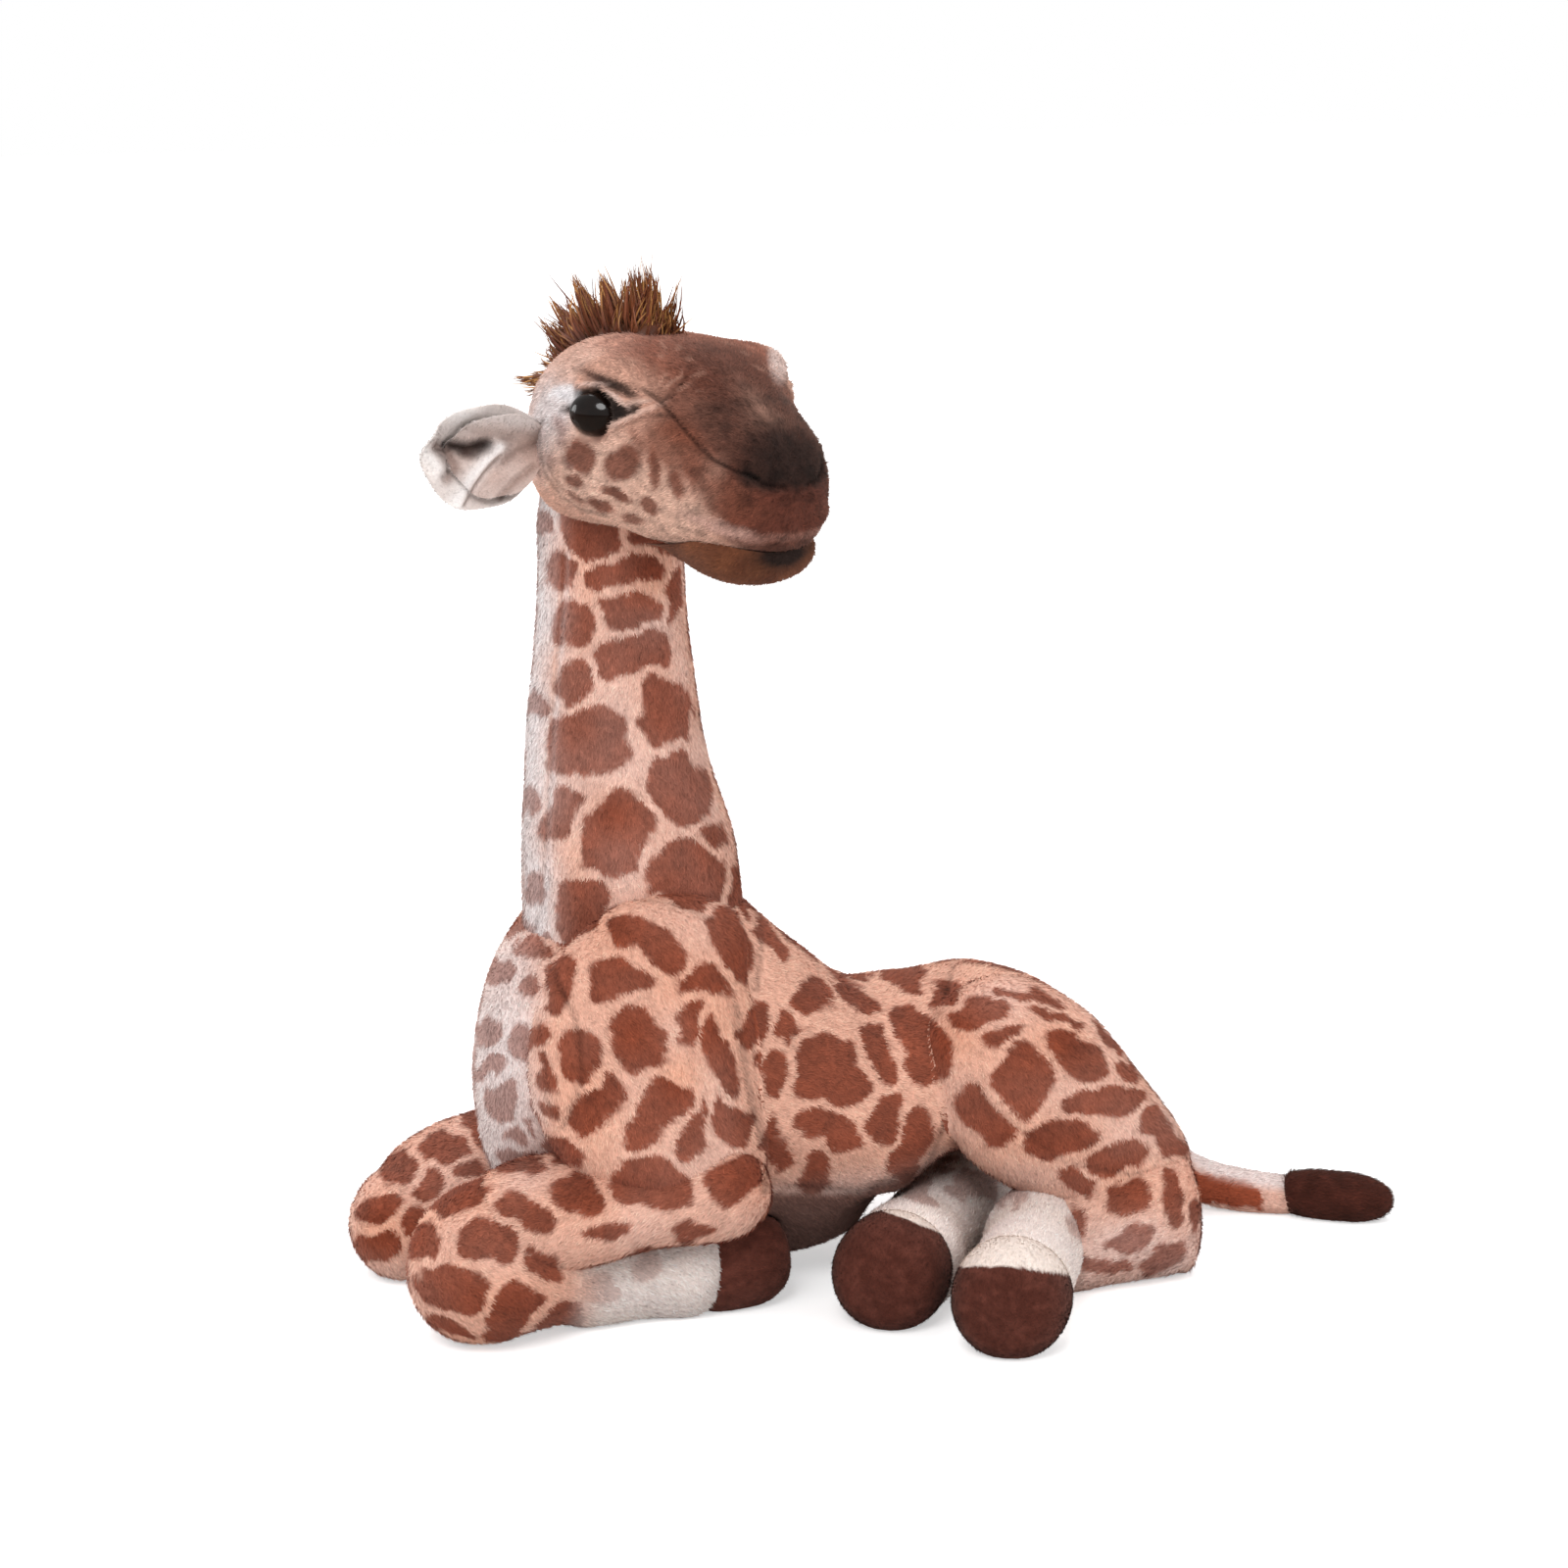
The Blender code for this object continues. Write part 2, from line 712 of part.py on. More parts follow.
def ear_sheet(name, trim, lift, finish, wall, side):
    """A cupped leaf: a sheet whose edges curl forward, with a wall on one side."""
    shape = bmesh.new()
    flat_share = EAR_CURL_SHARES[1][0]
    across_shares = (-trim, -flat_share, flat_share, trim)
    grid = []
    for place, _ in EAR_SHARES:
        breadth = between(EAR_SHARES, place * trim)
        row = []
        for share in across_shares:
            curl = EAR_CUP * between(EAR_CURL_SHARES, abs(share)) * breadth
            width = share * breadth * EAR_WIDTH / 2.0
            row.append(shape.verts.new((place * trim * EAR_LENGTH, width, lift + curl)))
        grid.append(row)
    for near, far in zip(grid, grid[1:]):
        for column in range(len(across_shares) - 1):
            shape.faces.new((near[column], far[column], far[column + 1], near[column + 1]))
    mesh = bpy.data.meshes.new(name)
    shape.to_mesh(mesh)
    shape.free()
    thing = make_object(name, mesh, finish, giraffe)
    skin = thing.modifiers.new("wall", "SOLIDIFY")
    skin.thickness = wall
    skin.offset = side
    soften = thing.modifiers.new("soften", "SUBSURF")
    soften.levels = 1
    soften.render_levels = 1
    return thing


def ear_ball(name, grow, carrier):
    """The ear's round root, or the room round it."""
    middle = at(0.0, 0.0, 0.0)
    thing = ball(name, middle, EAR_ROOT_RADIUS + grow, cutters, segments=SMALL_BALL_SEGMENTS)
    thing.parent = carrier
    return thing


for side, sign in (("left", 1.0), ("right", -1.0)):
    root_local = at(
        EAR_PLACE_SHARE * HEAD_LENGTH - HEAD_BACK,
        sign * EAR_SIDE_SHARE * HEAD_WIDTH,
        EAR_HEIGHT_SHARE * HEAD_HEIGHT,
    )
    ear_pivot = pivot("ear_pivot_" + side, root_local, 0.0, head_pivot)
    out = at(-math.sin(EAR_BACK_SWEEP), sign * math.cos(EAR_BACK_SWEEP), -math.tan(EAR_DROOP)).normalized()
    front = at(1.0, 0.0, 0.0)
    front = (front - out * front.dot(out)).normalized()
    stance = Matrix((out, front.cross(out), front)).transposed().to_4x4()
    velour = material("ear back " + side, VELOUR, 0.9)
    back = ear_sheet("ear_back_" + side, 1.0, 0.0, velour, EAR_WALL, -1.0)
    velour = material("ear lining " + side, VELOUR, 0.9)
    lining = ear_sheet("ear_lining_" + side, LINING_SHARE, LINING_GAP, velour, LINING_WALL, 1.0)
    for piece in (back, lining):
        piece.parent = ear_pivot
        piece.matrix_basis = stance
    root = ear_ball("ear_root_" + side, 0.0, ear_pivot)
    lining_room = ear_ball("ear_lining_room_" + side, GAP, ear_pivot)
    seat = ear_ball("ear_seat_" + side, SOCKET_GAP, ear_pivot)
    join(back, root)
    cut(lining, lining_room)
    cut(head, seat)


# Mane: a strip with its locks, seated on the head
def mane_rows():
    rows = []
    for place, height in MANE_SHARES:
        rows.append((head_point(place, 0.0, height), MANE_WIDTH / 2.0, MANE_BASE))
    return rows


def along_path(points, share):
    """A point at a share of a path's length, and the direction there."""
    lengths = [(b - a).length for a, b in zip(points, points[1:])]
    goal = share * sum(lengths)
    for start, end, length in zip(points, points[1:], lengths):
        if goal <= length:
            return start.lerp(end, goal / length), (end - start).normalized()
        goal -= length
    return points[-1], (points[-1] - points[-2]).normalized()


mane = stuffed("mane", mane_rows(), material("mane fur", MANE_BROWN, 0.9), giraffe, straight=False)
mane_points = [row[0] for row in mane_rows()]
side_way = head_place.to_3x3() @ at(0.0, 1.0, 0.0)
for index, (height_share, lean_share) in enumerate(LOCK_SHARES):
    foot, along = along_path(mane_points, (index + 0.5) / len(LOCK_SHARES))
    away = side_way.cross(along).normalized()
    away = away if away.z > 0.0 else -away
    direction = Matrix.Rotation(lean_share * LOCK_SPLAY, 3, along) @ away
    height = LOCK_HEIGHT * height_share
    shape = bmesh.new()
    bmesh.ops.create_cone(
        shape,
        cap_ends=True,
        segments=LOCK_SEGMENTS,
        radius1=LOCK_RADIUS,
        radius2=LOCK_TIP_RADIUS,
        depth=height,
    )
    mesh = bpy.data.meshes.new("lock")
    shape.to_mesh(mesh)
    shape.free()
    lock = make_object("lock_" + str(index), mesh, None, cutters)
    spin = direction.to_track_quat("Z", "Y").to_matrix().to_4x4()
    lock.matrix_basis = Matrix.Translation(foot + direction * (height / 2.0)) @ spin
    join(mane, lock)
cut(mane, head_clearance)

for piece in (head, chin, mane):
    keep_place(piece, head_pivot)


# A straight tube of plush with a ball at its root, and its hoof
def tube_rows(start, way, length, radius, shares):
    return [(start + way * (place * length), share * radius, share * radius) for place, share in shares]


def slab_beyond(name, point, way, size):
    """A block whose near face is square to a direction at a point."""
    slab = block(name, (-size, -size, 0.0), (size, size, size * 2.0))
    spin = way.to_track_quat("Z", "Y").to_matrix().to_4x4()
    slab.matrix_basis = Matrix.Translation(point) @ spin @ slab.matrix_basis
    return slab


def lower_leg(
    label,
    hoof_label,
    root,
    root_radius,
    aim,
    length,
    radius,
    hoof_length,
    hoof_radius,
    carrier,
    swings,
):
    """A cream tube from a ball root to its seam, with the hoof beyond it."""
    way = at(math.cos(aim), math.sin(aim), 0.0)
    start = at(root.x, root.y, radius - GAP)
    seam = start + way * length
    rows = tube_rows(start, way, length, radius, TUBE_SHARES)
    tube = stuffed(label, rows, material(label, CREAM, 0.95), giraffe)
    root_ball = ball(label + "_root", root, root_radius, cutters)
    beyond = slab_beyond(label + "_end", seam, way, hoof_length)
    cut(tube, beyond)
    join(tube, root_ball)
    cut(tube, floor_cutter)
    hoof_start = at(seam.x, seam.y, hoof_radius - GAP)
    hoof_rows = tube_rows(hoof_start, way, hoof_length, hoof_radius, HOOF_SHARES)
    hoof = stuffed(hoof_label, hoof_rows, material(hoof_label, DARK_BROWN, 0.95), giraffe)
    before = slab_beyond(hoof_label + "_start", seam + way * GAP, -way, hoof_length)
    cut(hoof, before)
    cut(hoof, floor_cutter)
    keep_place(tube, carrier)
    keep_place(hoof, carrier)
    beds = [stuffed(hoof_label + "_bed", hoof_rows, None, cutters, grow=SOCKET_GAP)]
    for index, swing in enumerate(swings):
        swung = Matrix.Rotation(swing, 3, "Z") @ way
        rows = tube_rows(start, swung, length, radius, TUBE_SHARES)
        beds.append(stuffed(label + "_bed_" + str(index), rows, None, cutters, grow=SOCKET_GAP))
    return beds


# Forelegs
knees = {
    "left": (LEFT_KNEE_REACH, LEFT_KNEE_SPREAD, LEFT_KNEE_RADIUS),
    "right": (RIGHT_KNEE_REACH, RIGHT_KNEE_SPREAD, RIGHT_KNEE_RADIUS),
}
shoulder_reaches = {"left": LEFT_SHOULDER_REACH, "right": RIGHT_SHOULDER_REACH}

for side, sign in (("left", -1.0), ("right", 1.0)):
    knee_reach, knee_spread, knee_radius = knees[side]
    cannon_top = 2.0 * CANNON_RADIUS
    knee = at(-knee_reach, sign * knee_spread, knee_radius - GAP)
    elbow = at(ELBOW_SETBACK, sign * ELBOW_SPREAD, cannon_top + FOREARM_DEPTH / 2.0)
    wrist = at(knee.x, knee.y, max(2.0 * knee_radius, cannon_top) - FOREARM_DEPTH / 2.0)
    shoulder_foot = at(-shoulder_reaches[side], sign * SHOULDER_SPREAD, cannon_top + GAP)

    shoulder_rows = []
    for height, behind, outward, half_breadth, half_thickness in SHOULDER_SHARES:
        out = sign * outward * SHOULDER_DEPTH
        centre = shoulder_foot + at(behind * SHOULDER_WIDTH, out, height * SHOULDER_HEIGHT)
        shoulder_rows.append((centre, half_thickness * SHOULDER_DEPTH, half_breadth * SHOULDER_WIDTH))
    name = "shoulder_" + side
    forward = at(1.0, 0.0, 0.0)
    shoulder = stuffed(name, shoulder_rows, material(name, PLUSH, 0.95), giraffe, upward=forward)
    shoulder_clearance = stuffed(
        name + "_clearance", shoulder_rows, None, cutters, upward=forward, grow=SEAM_GAP
    )
    cannon_room = block(
        "cannon_room_" + side,
        (-knee_reach - knee_radius * 2.0, min(0.0, sign * TORSO_WIDTH), -OVERRUN),
        (TORSO_LENGTH / 2.0, max(0.0, sign * TORSO_WIDTH), cannon_top + GAP),
    )
    cut(shoulder, neck_seat)
    cut(shoulder, cannon_room)
    cut(shoulder, torso_clearance)

    way = (wrist - elbow).normalized()
    reach = (wrist - elbow).length
    forearm_rows = []
    for place, half_width, half_depth, lift in FOREARM_SHARES:
        centre = elbow + way * (place * reach) + at(0.0, 0.0, lift * FOREARM_DEPTH)
        forearm_rows.append((centre, half_width * FOREARM_WIDTH, half_depth * FOREARM_DEPTH))
    name = "forearm_" + side
    forearm = stuffed(name, forearm_rows, material(name, PLUSH, 0.95), giraffe)
    knee_seat = ball("knee_seat_" + side, knee, knee_radius + SOCKET_GAP, cutters)
    cut(forearm, knee_seat)
    cut(forearm, cannon_room)
    cut(forearm, torso_clearance)
    cut(forearm, shoulder_clearance)

    knee_pivot = pivot("knee_pivot_" + side, knee, 0.0, None)
    beds = lower_leg(
        "front_cannon_" + side,
        "front_hoof_" + side,
        knee,
        knee_radius,
        sign * CANNON_SPLAY,
        CANNON_LENGTH,
        CANNON_RADIUS,
        FRONT_HOOF_LENGTH,
        CANNON_RADIUS * FRONT_HOOF_SHARE,
        knee_pivot,
        (0.0,),
    )
    # The brisket takes the dents of the folded foreleg beside it
    cut(torso, knee_seat)
    for bed in beds:
        cut(torso, bed)

# Hind legs
hips = {"left": LEFT_HIP, "right": RIGHT_HIP}
hocks = {"left": LEFT_HOCK, "right": RIGHT_HOCK}
ankles = {"left": at(LEFT_ANKLE[0], -LEFT_ANKLE[1], 0.0), "right": at(*RIGHT_ANKLE, 0.0)}
foot_swings = {
    "left": (-LEFT_FOOT_SWING_IN, LEFT_FOOT_SWING_OUT),
    "right": (-RIGHT_FOOT_SWING, RIGHT_FOOT_SWING),
}
feet = {"left": (LEFT_FOOT_AIM, LEFT_FOOT_LENGTH), "right": (RIGHT_FOOT_AIM, RIGHT_FOOT_LENGTH)}

for side, sign in (("left", -1.0), ("right", 1.0)):
    hip_back, hip_out, hip_up = hips[side]
    hock_back, hock_out, hock_up = hocks[side]
    hip = at(hip_back, sign * hip_out, hip_up)
    hock = at(hock_back, sign * hock_out, hock_up)
    way = (hock - hip).normalized()
    reach = (hock - hip).length
    thigh_rows = []
    for place, outward, half_breadth, half_thickness in THIGH_SHARES:
        centre = hip + way * (place * reach) + at(0.0, sign * outward * THIGH_DEPTH, 0.0)
        thigh_rows.append((centre, half_thickness * THIGH_DEPTH, half_breadth * THIGH_WIDTH))
    name = "thigh_" + side
    upward = way.cross(at(0.0, sign, 0.0)).normalized()
    thigh = stuffed(name, thigh_rows, material(name, PLUSH, 0.95), giraffe, upward=upward)
    thigh_clearance = stuffed(
        name + "_clearance", thigh_rows, None, cutters, upward=upward, grow=SEAM_GAP
    )
    cut(thigh, torso_clearance)
    cut(thigh, floor_cutter)

    ankle = ankles[side] + at(0.0, 0.0, ANKLE_RADIUS - GAP)
    shin_way = ankle - hock
    shin_way.z = 0.0
    shin_rows = []
    for place, share in SHIN_SHARES:
        centre = hock + shin_way * place
        centre.z = SHIN_RADIUS * min(share, 1.0) - GAP
        shin_rows.append((centre, share * SHIN_RADIUS, share * SHIN_RADIUS))
    name = "shin_" + side
    shin = stuffed(name, shin_rows, material(name, PLUSH, 0.95), giraffe)
    ankle_seat = ball("ankle_seat_" + side, ankle, ANKLE_RADIUS + SOCKET_GAP, cutters)
    cut(thigh, ankle_seat)
    cut(shin, ankle_seat)
    cut(shin, floor_cutter)
    cut(shin, torso_clearance)
    cut(shin, thigh_clearance)

    aim, length = feet[side]
    ankle_pivot = pivot("ankle_pivot_" + side, ankle, 0.0, None)
    beds = lower_leg(
        "rear_foot_" + side,
        "rear_hoof_" + side,
        ankle,
        ANKLE_RADIUS,
        aim,
        length,
        ANKLE_RADIUS * REAR_TUBE_SHARE,
        REAR_HOOF_LENGTH,
        ANKLE_RADIUS * REAR_HOOF_SHARE,
        ankle_pivot,
        (0.0, *foot_swings[side]),
    )
    # The shin, thigh and belly leave room for the foot at both ends of its swing
    for bed in beds[1:]:
        cut(shin, bed)
        cut(thigh, bed)
        cut(torso, bed)


# Tail
tail_root = at(TAIL_ROOT_REACH, 0.0, TAIL_ROOT_HEIGHT)
tail_pivot = pivot("tail_pivot", tail_root, 0.0, None)
tail_fall = TAIL_ROOT_HEIGHT - TAIL_RADIUS * TAIL_REST_SHARE


def tail_rows():
    rows = []
    for place, bend, fall, share in TAIL_SHARES:
        centre = tail_root + at(place * TAIL_LENGTH, -bend * TAIL_BEND, -fall * tail_fall)
        rows.append((centre, share * TAIL_RADIUS, share * TAIL_RADIUS))
    return rows


tail = stuffed("tail", tail_rows(), material("tail plush", PLUSH, 0.95), giraffe, straight=False)
seam = tail_rows()[-2][0]
tip_way = (tail_rows()[-1][0] - seam).normalized()
tail_ball = ball("tail_ball", tail_root, TAIL_ROOT_RADIUS, cutters)
join(tail, tail_ball)
cut(tail, slab_beyond("tail_end", seam, tip_way, TUFT_LENGTH / 2.0))
cut(tail, floor_cutter)
tuft_rows = []
for place, share in TUFT_SHARES:
    centre = seam + tip_way * (place * TUFT_LENGTH)
    centre.z = TUFT_RADIUS - GAP * 2.0
    tuft_rows.append((centre, share * TUFT_RADIUS, share * TUFT_RADIUS))
tuft = stuffed("tail_tuft", tuft_rows, material("tail tuft", DARK_BROWN, 0.95), giraffe)
cut(tuft, slab_beyond("tuft_start", seam + tip_way * GAP, -tip_way, TUFT_LENGTH / 2.0))
cut(tuft, floor_cutter)
keep_place(tail, tail_pivot)
keep_place(tuft, tail_pivot)
tail_seat = ball("tail_seat", tail_root, TAIL_ROOT_RADIUS + SOCKET_GAP, cutters)
cut(torso, tail_seat)
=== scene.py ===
import math

import bpy
import numpy as np
from mathutils import Matrix, Vector


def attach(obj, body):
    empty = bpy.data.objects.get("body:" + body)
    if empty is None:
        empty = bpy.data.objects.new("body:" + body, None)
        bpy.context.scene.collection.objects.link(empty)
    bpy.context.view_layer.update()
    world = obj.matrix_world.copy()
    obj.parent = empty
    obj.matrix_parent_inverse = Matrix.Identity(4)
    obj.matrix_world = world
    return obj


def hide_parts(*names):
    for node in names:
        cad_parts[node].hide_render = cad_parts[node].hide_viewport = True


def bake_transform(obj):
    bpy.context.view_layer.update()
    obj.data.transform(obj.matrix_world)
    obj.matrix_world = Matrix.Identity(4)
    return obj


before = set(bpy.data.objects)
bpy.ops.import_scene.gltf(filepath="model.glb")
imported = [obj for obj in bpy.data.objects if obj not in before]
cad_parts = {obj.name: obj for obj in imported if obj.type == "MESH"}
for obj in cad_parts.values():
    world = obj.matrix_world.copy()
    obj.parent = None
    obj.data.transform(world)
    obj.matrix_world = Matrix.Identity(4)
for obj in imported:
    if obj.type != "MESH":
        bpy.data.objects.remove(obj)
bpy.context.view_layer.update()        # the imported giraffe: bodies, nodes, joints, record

print("giraffe scene: start")

scene = bpy.context.scene
scene.view_settings.view_transform = "Standard"

# camera
shot = {
    "place": (-0.4952, -1.3450, 0.5016),
    "right": (0.92718, -0.37461, 0.0),
    "up": (0.08108, 0.20068, 0.97630),
    "back": (-0.36573, -0.90521, 0.21644),
    "lens": 95.07,
    "film": 36.0,
    "frame": 1600.0,
    "pixel": 0.355,     # millimetres, at the toy's middle
}
shotPlace = np.array(shot["place"])
shotAxes = np.array([shot["right"], shot["up"], shot["back"]])


def inPicture(points):
    # x = frame/2 + f right.d / depth, y = frame/2 - f up.d / depth, with d = point - place
    seen = (points - shotPlace) @ shotAxes.T
    focal = shot["lens"] / shot["film"] * shot["frame"]
    half = shot["frame"] / 2
    depth = -seen[:, 2]
    return np.stack([half + focal * seen[:, 0] / depth, half - focal * seen[:, 1] / depth], 1)


cameraData = bpy.data.cameras.new("studioCamera")
cameraData.lens = shot["lens"]
cameraData.sensor_width = shot["film"]
cameraObject = bpy.data.objects.new("studioCamera", cameraData)
scene.collection.objects.link(cameraObject)
turn = Matrix(shotAxes.tolist()).transposed().to_4x4()
cameraObject.matrix_world = Matrix.Translation(shot["place"]) @ turn
scene.camera = cameraObject


# small helpers
def linear(hexColour):
    # sRGB to linear: c/12.92 under .04045, else ((c + .055) / 1.055) ^ 2.4
    parts = [int(hexColour[k:k + 2], 16) / 255 for k in (1, 3, 5)]
    return np.array([c / 12.92 if c <= 0.04045 else ((c + 0.055) / 1.055) ** 2.4 for c in parts])


def mix(a, b, share):
    share = np.asarray(share)[..., None]
    return a * (1 - share) + b * share


def smooth(low, high, x):
    # 3t^2 - 2t^3 with t = (x - low) / (high - low) held to 0..1
    t = np.clip((x - low) / (high - low), 0, 1)
    return t * t * (3 - 2 * t)


def unit(v):
    return v / np.maximum(np.linalg.norm(v, axis=-1, keepdims=True), 1e-12)


def cloud(points, size, seed):
    # value noise: a hashed number at each lattice corner, joined by 3t^2 - 2t^3, from -1 to 1
    q = points / size + seed * 17.13
    low = np.floor(q).astype(np.int64)
    t = q - low
    t = t * t * (3 - 2 * t)
    total = np.zeros(len(points))
    for corner in range(8):
        step = np.array([corner & 1, corner >> 1 & 1, corner >> 2])
        c = low + step
        h = (c[:, 0] * 73856093) ^ (c[:, 1] * 19349663) ^ (c[:, 2] * 83492791) ^ (seed * 40503)
        h = ((h ^ (h >> 13)) * 1274126177) & 0xFFFFFFFF
        value = ((h ^ (h >> 15)) & 0xFFFF) / 32767.5 - 1
        total += value * np.prod(np.where(step == 1, t, 1 - t), axis=1)
    return total


def addNode(tree, kind, settings=None, links=None, **values):
    # one node with its settings, its incoming links and its sockets' values, with _ for a space
    node = tree.nodes.new(kind)
    for name, value in (settings or {}).items():
        setattr(node, name, value)
    for name, value in values.items():
        node.inputs[name.replace("_", " ")].default_value = value
    for name, source in (links or {}).items():
        tree.links.new(source, node.inputs[name])
    return node


# materials
def newMaterial(name):
    material = bpy.data.materials.new(name)
    material.use_nodes = True
    material.node_tree.nodes.clear()
    return material, material.node_tree


def napMaterial(name, roughness, sheen, sheenTint, fleck, fleckSize, bump):
    # short knitted-back polyester nap: matt, with a soft sheen where it is seen edge on
    # the coat's colours come with the mesh; fleckSize is in metres
    material, tree = newMaterial(name)
    coat = addNode(tree, "ShaderNodeAttribute", {"attribute_name": "coat"})
    place = addNode(tree, "ShaderNodeTexCoord")
    grain = addNode(tree, "ShaderNodeTexNoise", {}, {"Vector": place.outputs["Object"]},
                    Scale=1 / fleckSize, Detail=3.0, Roughness=0.6)
    spread = addNode(tree, "ShaderNodeMapRange", {}, {"Value": grain.outputs["Fac"]},
                     From_Min=0.3, From_Max=0.7, To_Min=1 - fleck, To_Max=1 + fleck)
    tinted = addNode(tree, "ShaderNodeVectorMath", {"operation": "SCALE"},
                     {"Vector": coat.outputs["Color"], "Scale": spread.outputs["Result"]})
    raised = addNode(tree, "ShaderNodeBump", {}, {"Height": grain.outputs["Fac"]},
                     Strength=bump, Distance=0.0006)
    shader = addNode(tree, "ShaderNodeBsdfPrincipled", {},
                     {"Base Color": tinted.outputs["Vector"], "Normal": raised.outputs["Normal"]},
                     Roughness=roughness, Sheen_Weight=sheen, Sheen_Roughness=0.5,
                     Sheen_Tint=(*linear(sheenTint), 1), Specular_IOR_Level=0.2)
    addNode(tree, "ShaderNodeOutputMaterial", {}, {"Surface": shader.outputs["BSDF"]})
    return material


def mouldedMaterial(name, scale, dark, light, **finish):
    # moulded plastic, faintly cloudy between two near tones
    material, tree = newMaterial(name)
    place = addNode(tree, "ShaderNodeTexCoord")
    haze = addNode(tree, "ShaderNodeTexNoise", {}, {"Vector": place.outputs["Object"]}, Scale=scale, Detail=2.0)
    ramp = addNode(tree, "ShaderNodeValToRGB", {}, {"Fac": haze.outputs["Fac"]})
    ramp.color_ramp.elements[0].color = (*linear(dark), 1)
    ramp.color_ramp.elements[1].color = (*linear(light), 1)
    shader = addNode(tree, "ShaderNodeBsdfPrincipled", {}, {"Base Color": ramp.outputs["Color"]}, **finish)
    addNode(tree, "ShaderNodeOutputMaterial", {}, {"Surface": shader.outputs["BSDF"]})
    return material


# plush nap: short fibres lying in one direction, whose tufts show as flecks about 1.5 mm wide
plushNap = napMaterial("plushNap", 0.95, 0.07, "#FFE0D0", 0.10, 0.0016, 0.35)
# cotton velour of the ears: 1 mm pile, finer and cooler
cottonVelour = napMaterial("cottonVelour", 0.92, 0.12, "#FFFFFF", 0.07, 0.0009, 0.25)
# long mane fibre: smoother, a little glossy along its length
maneFibre = napMaterial("maneFibre", 0.55, 0.10, "#FFDDB0", 0.10, 0.0012, 0.10)
# acrylic safety eye: black-brown behind a clear polished dome
acrylicEye = mouldedMaterial("acrylicEye", 260.0, "#060403", "#1A0E0A", Roughness=0.11, Specular_IOR_Level=0.34)
# natural moulded nylon of the washers: off-white
mouldedNylon = mouldedMaterial("mouldedNylon", 400.0, "#D9D7CF", "#EDEBE4", Roughness=0.4)
print("materials made")


# stuffed bags
def loft(rows, upward=(0, 0, 1), fullness=2.0, straight=True, blunt=0.15, samples=500):
    # rows: x y z, half width, half height, keel. A pole past each end row and the end row
    # mirrored behind it close the bag roundly; a cubic through all rows, in chord length, joins them
    rows = np.array([list(r) + [0.0] * (6 - len(r)) for r in rows], float)

    def ended(end, inner):
        out = unit(end[:3] - inner[:3])
        pole, mirror = end.copy(), end.copy()
        pole[:3] += out * blunt * end[3:5].mean()
        pole[3:5] = 0
        mirror[3:5] *= -1
        return pole, mirror

    pole, mirror = ended(rows[0], rows[1])
    farPole, farMirror = ended(rows[-1], rows[-2])
    table = np.vstack([mirror, pole, rows, farPole, farMirror])
    size = table[:, 3:5].mean(1)
    u = np.concatenate([[0], np.cumsum(np.hypot(np.linalg.norm(np.diff(table[:, :3], axis=0), axis=1),
                                                np.diff(size)))])
    h = np.diff(u)[:, None]
    slope = np.diff(table, axis=0) / h
    tangent = (slope[:-1] * h[1:] + slope[1:] * h[:-1]) / (h[:-1] + h[1:])
    at = np.linspace(u[1], u[-2], samples)
    k = np.clip(np.searchsorted(u, at, side="right") - 1, 1, len(u) - 3)
    w = h[k]
    t = (at[:, None] - u[k][:, None]) / w
    line = ((2 * t ** 3 - 3 * t ** 2 + 1) * table[k] + (t ** 3 - 2 * t ** 2 + t) * w * tangent[k - 1]
            + (3 * t ** 2 - 2 * t ** 3) * table[k + 1] + (t ** 3 - t ** 2) * w * tangent[k])
    line[:, 3:5] = np.maximum(line[:, 3:5], 0)
    up = np.array(upward, float)
    if straight:
        along = np.repeat(unit(rows[-1, :3] - rows[0, :3])[None], samples, 0)
    else:
        along = unit(np.gradient(line[:, :3], axis=0))
    across = unit(np.cross(along, up))
    bag = {"line": line, "along": along, "across": across, "up": np.cross(across, along), "fullness": fullness}
    walked = np.hypot(np.linalg.norm(np.diff(line[:, :3], axis=0), axis=1),
                      np.diff(line[:, 3:5].mean(1)))
    bag["walk"] = np.concatenate([[0], np.cumsum(walked)])
    bag["reach"] = np.maximum.accumulate(line[:, :3] @ along[0])
    return bag


def full(value, fullness):
    return np.sign(value) * np.abs(value) ** (2 / fullness)


def bagSurface(bag, spacing):
    # P(s, a) = centre(s) + across w(s) k(a) cos a + up h(s) sin a, k drawing the lower half in
    rings = max(12, int(bag["walk"][-1] / spacing))
    girth = 2 * math.pi * np.sqrt((bag["line"][:, 3] ** 2 + bag["line"][:, 4] ** 2) / 2).max()
    columns = max(16, int(girth / spacing / 2) * 2)
    at = np.linspace(0, bag["walk"][-1], rings)
    pick = lambda values: np.stack([np.interp(at, bag["walk"], values[:, k])
                                    for k in range(values.shape[1])], 1)
    line = pick(bag["line"])
    across, up = unit(pick(bag["across"])), unit(pick(bag["up"]))
    angle = np.linspace(0, 2 * math.pi, columns, endpoint=False)
    drawn = 1 - line[:, 5:6] * np.maximum(0, -np.sin(angle))
    wide = line[:, 3:4] * drawn * full(np.cos(angle), bag["fullness"])
    tall = line[:, 4:5] * full(np.sin(angle), bag["fullness"])
    return line[:, None, :3] + across[:, None] * wide[..., None] + up[:, None] * tall[..., None]


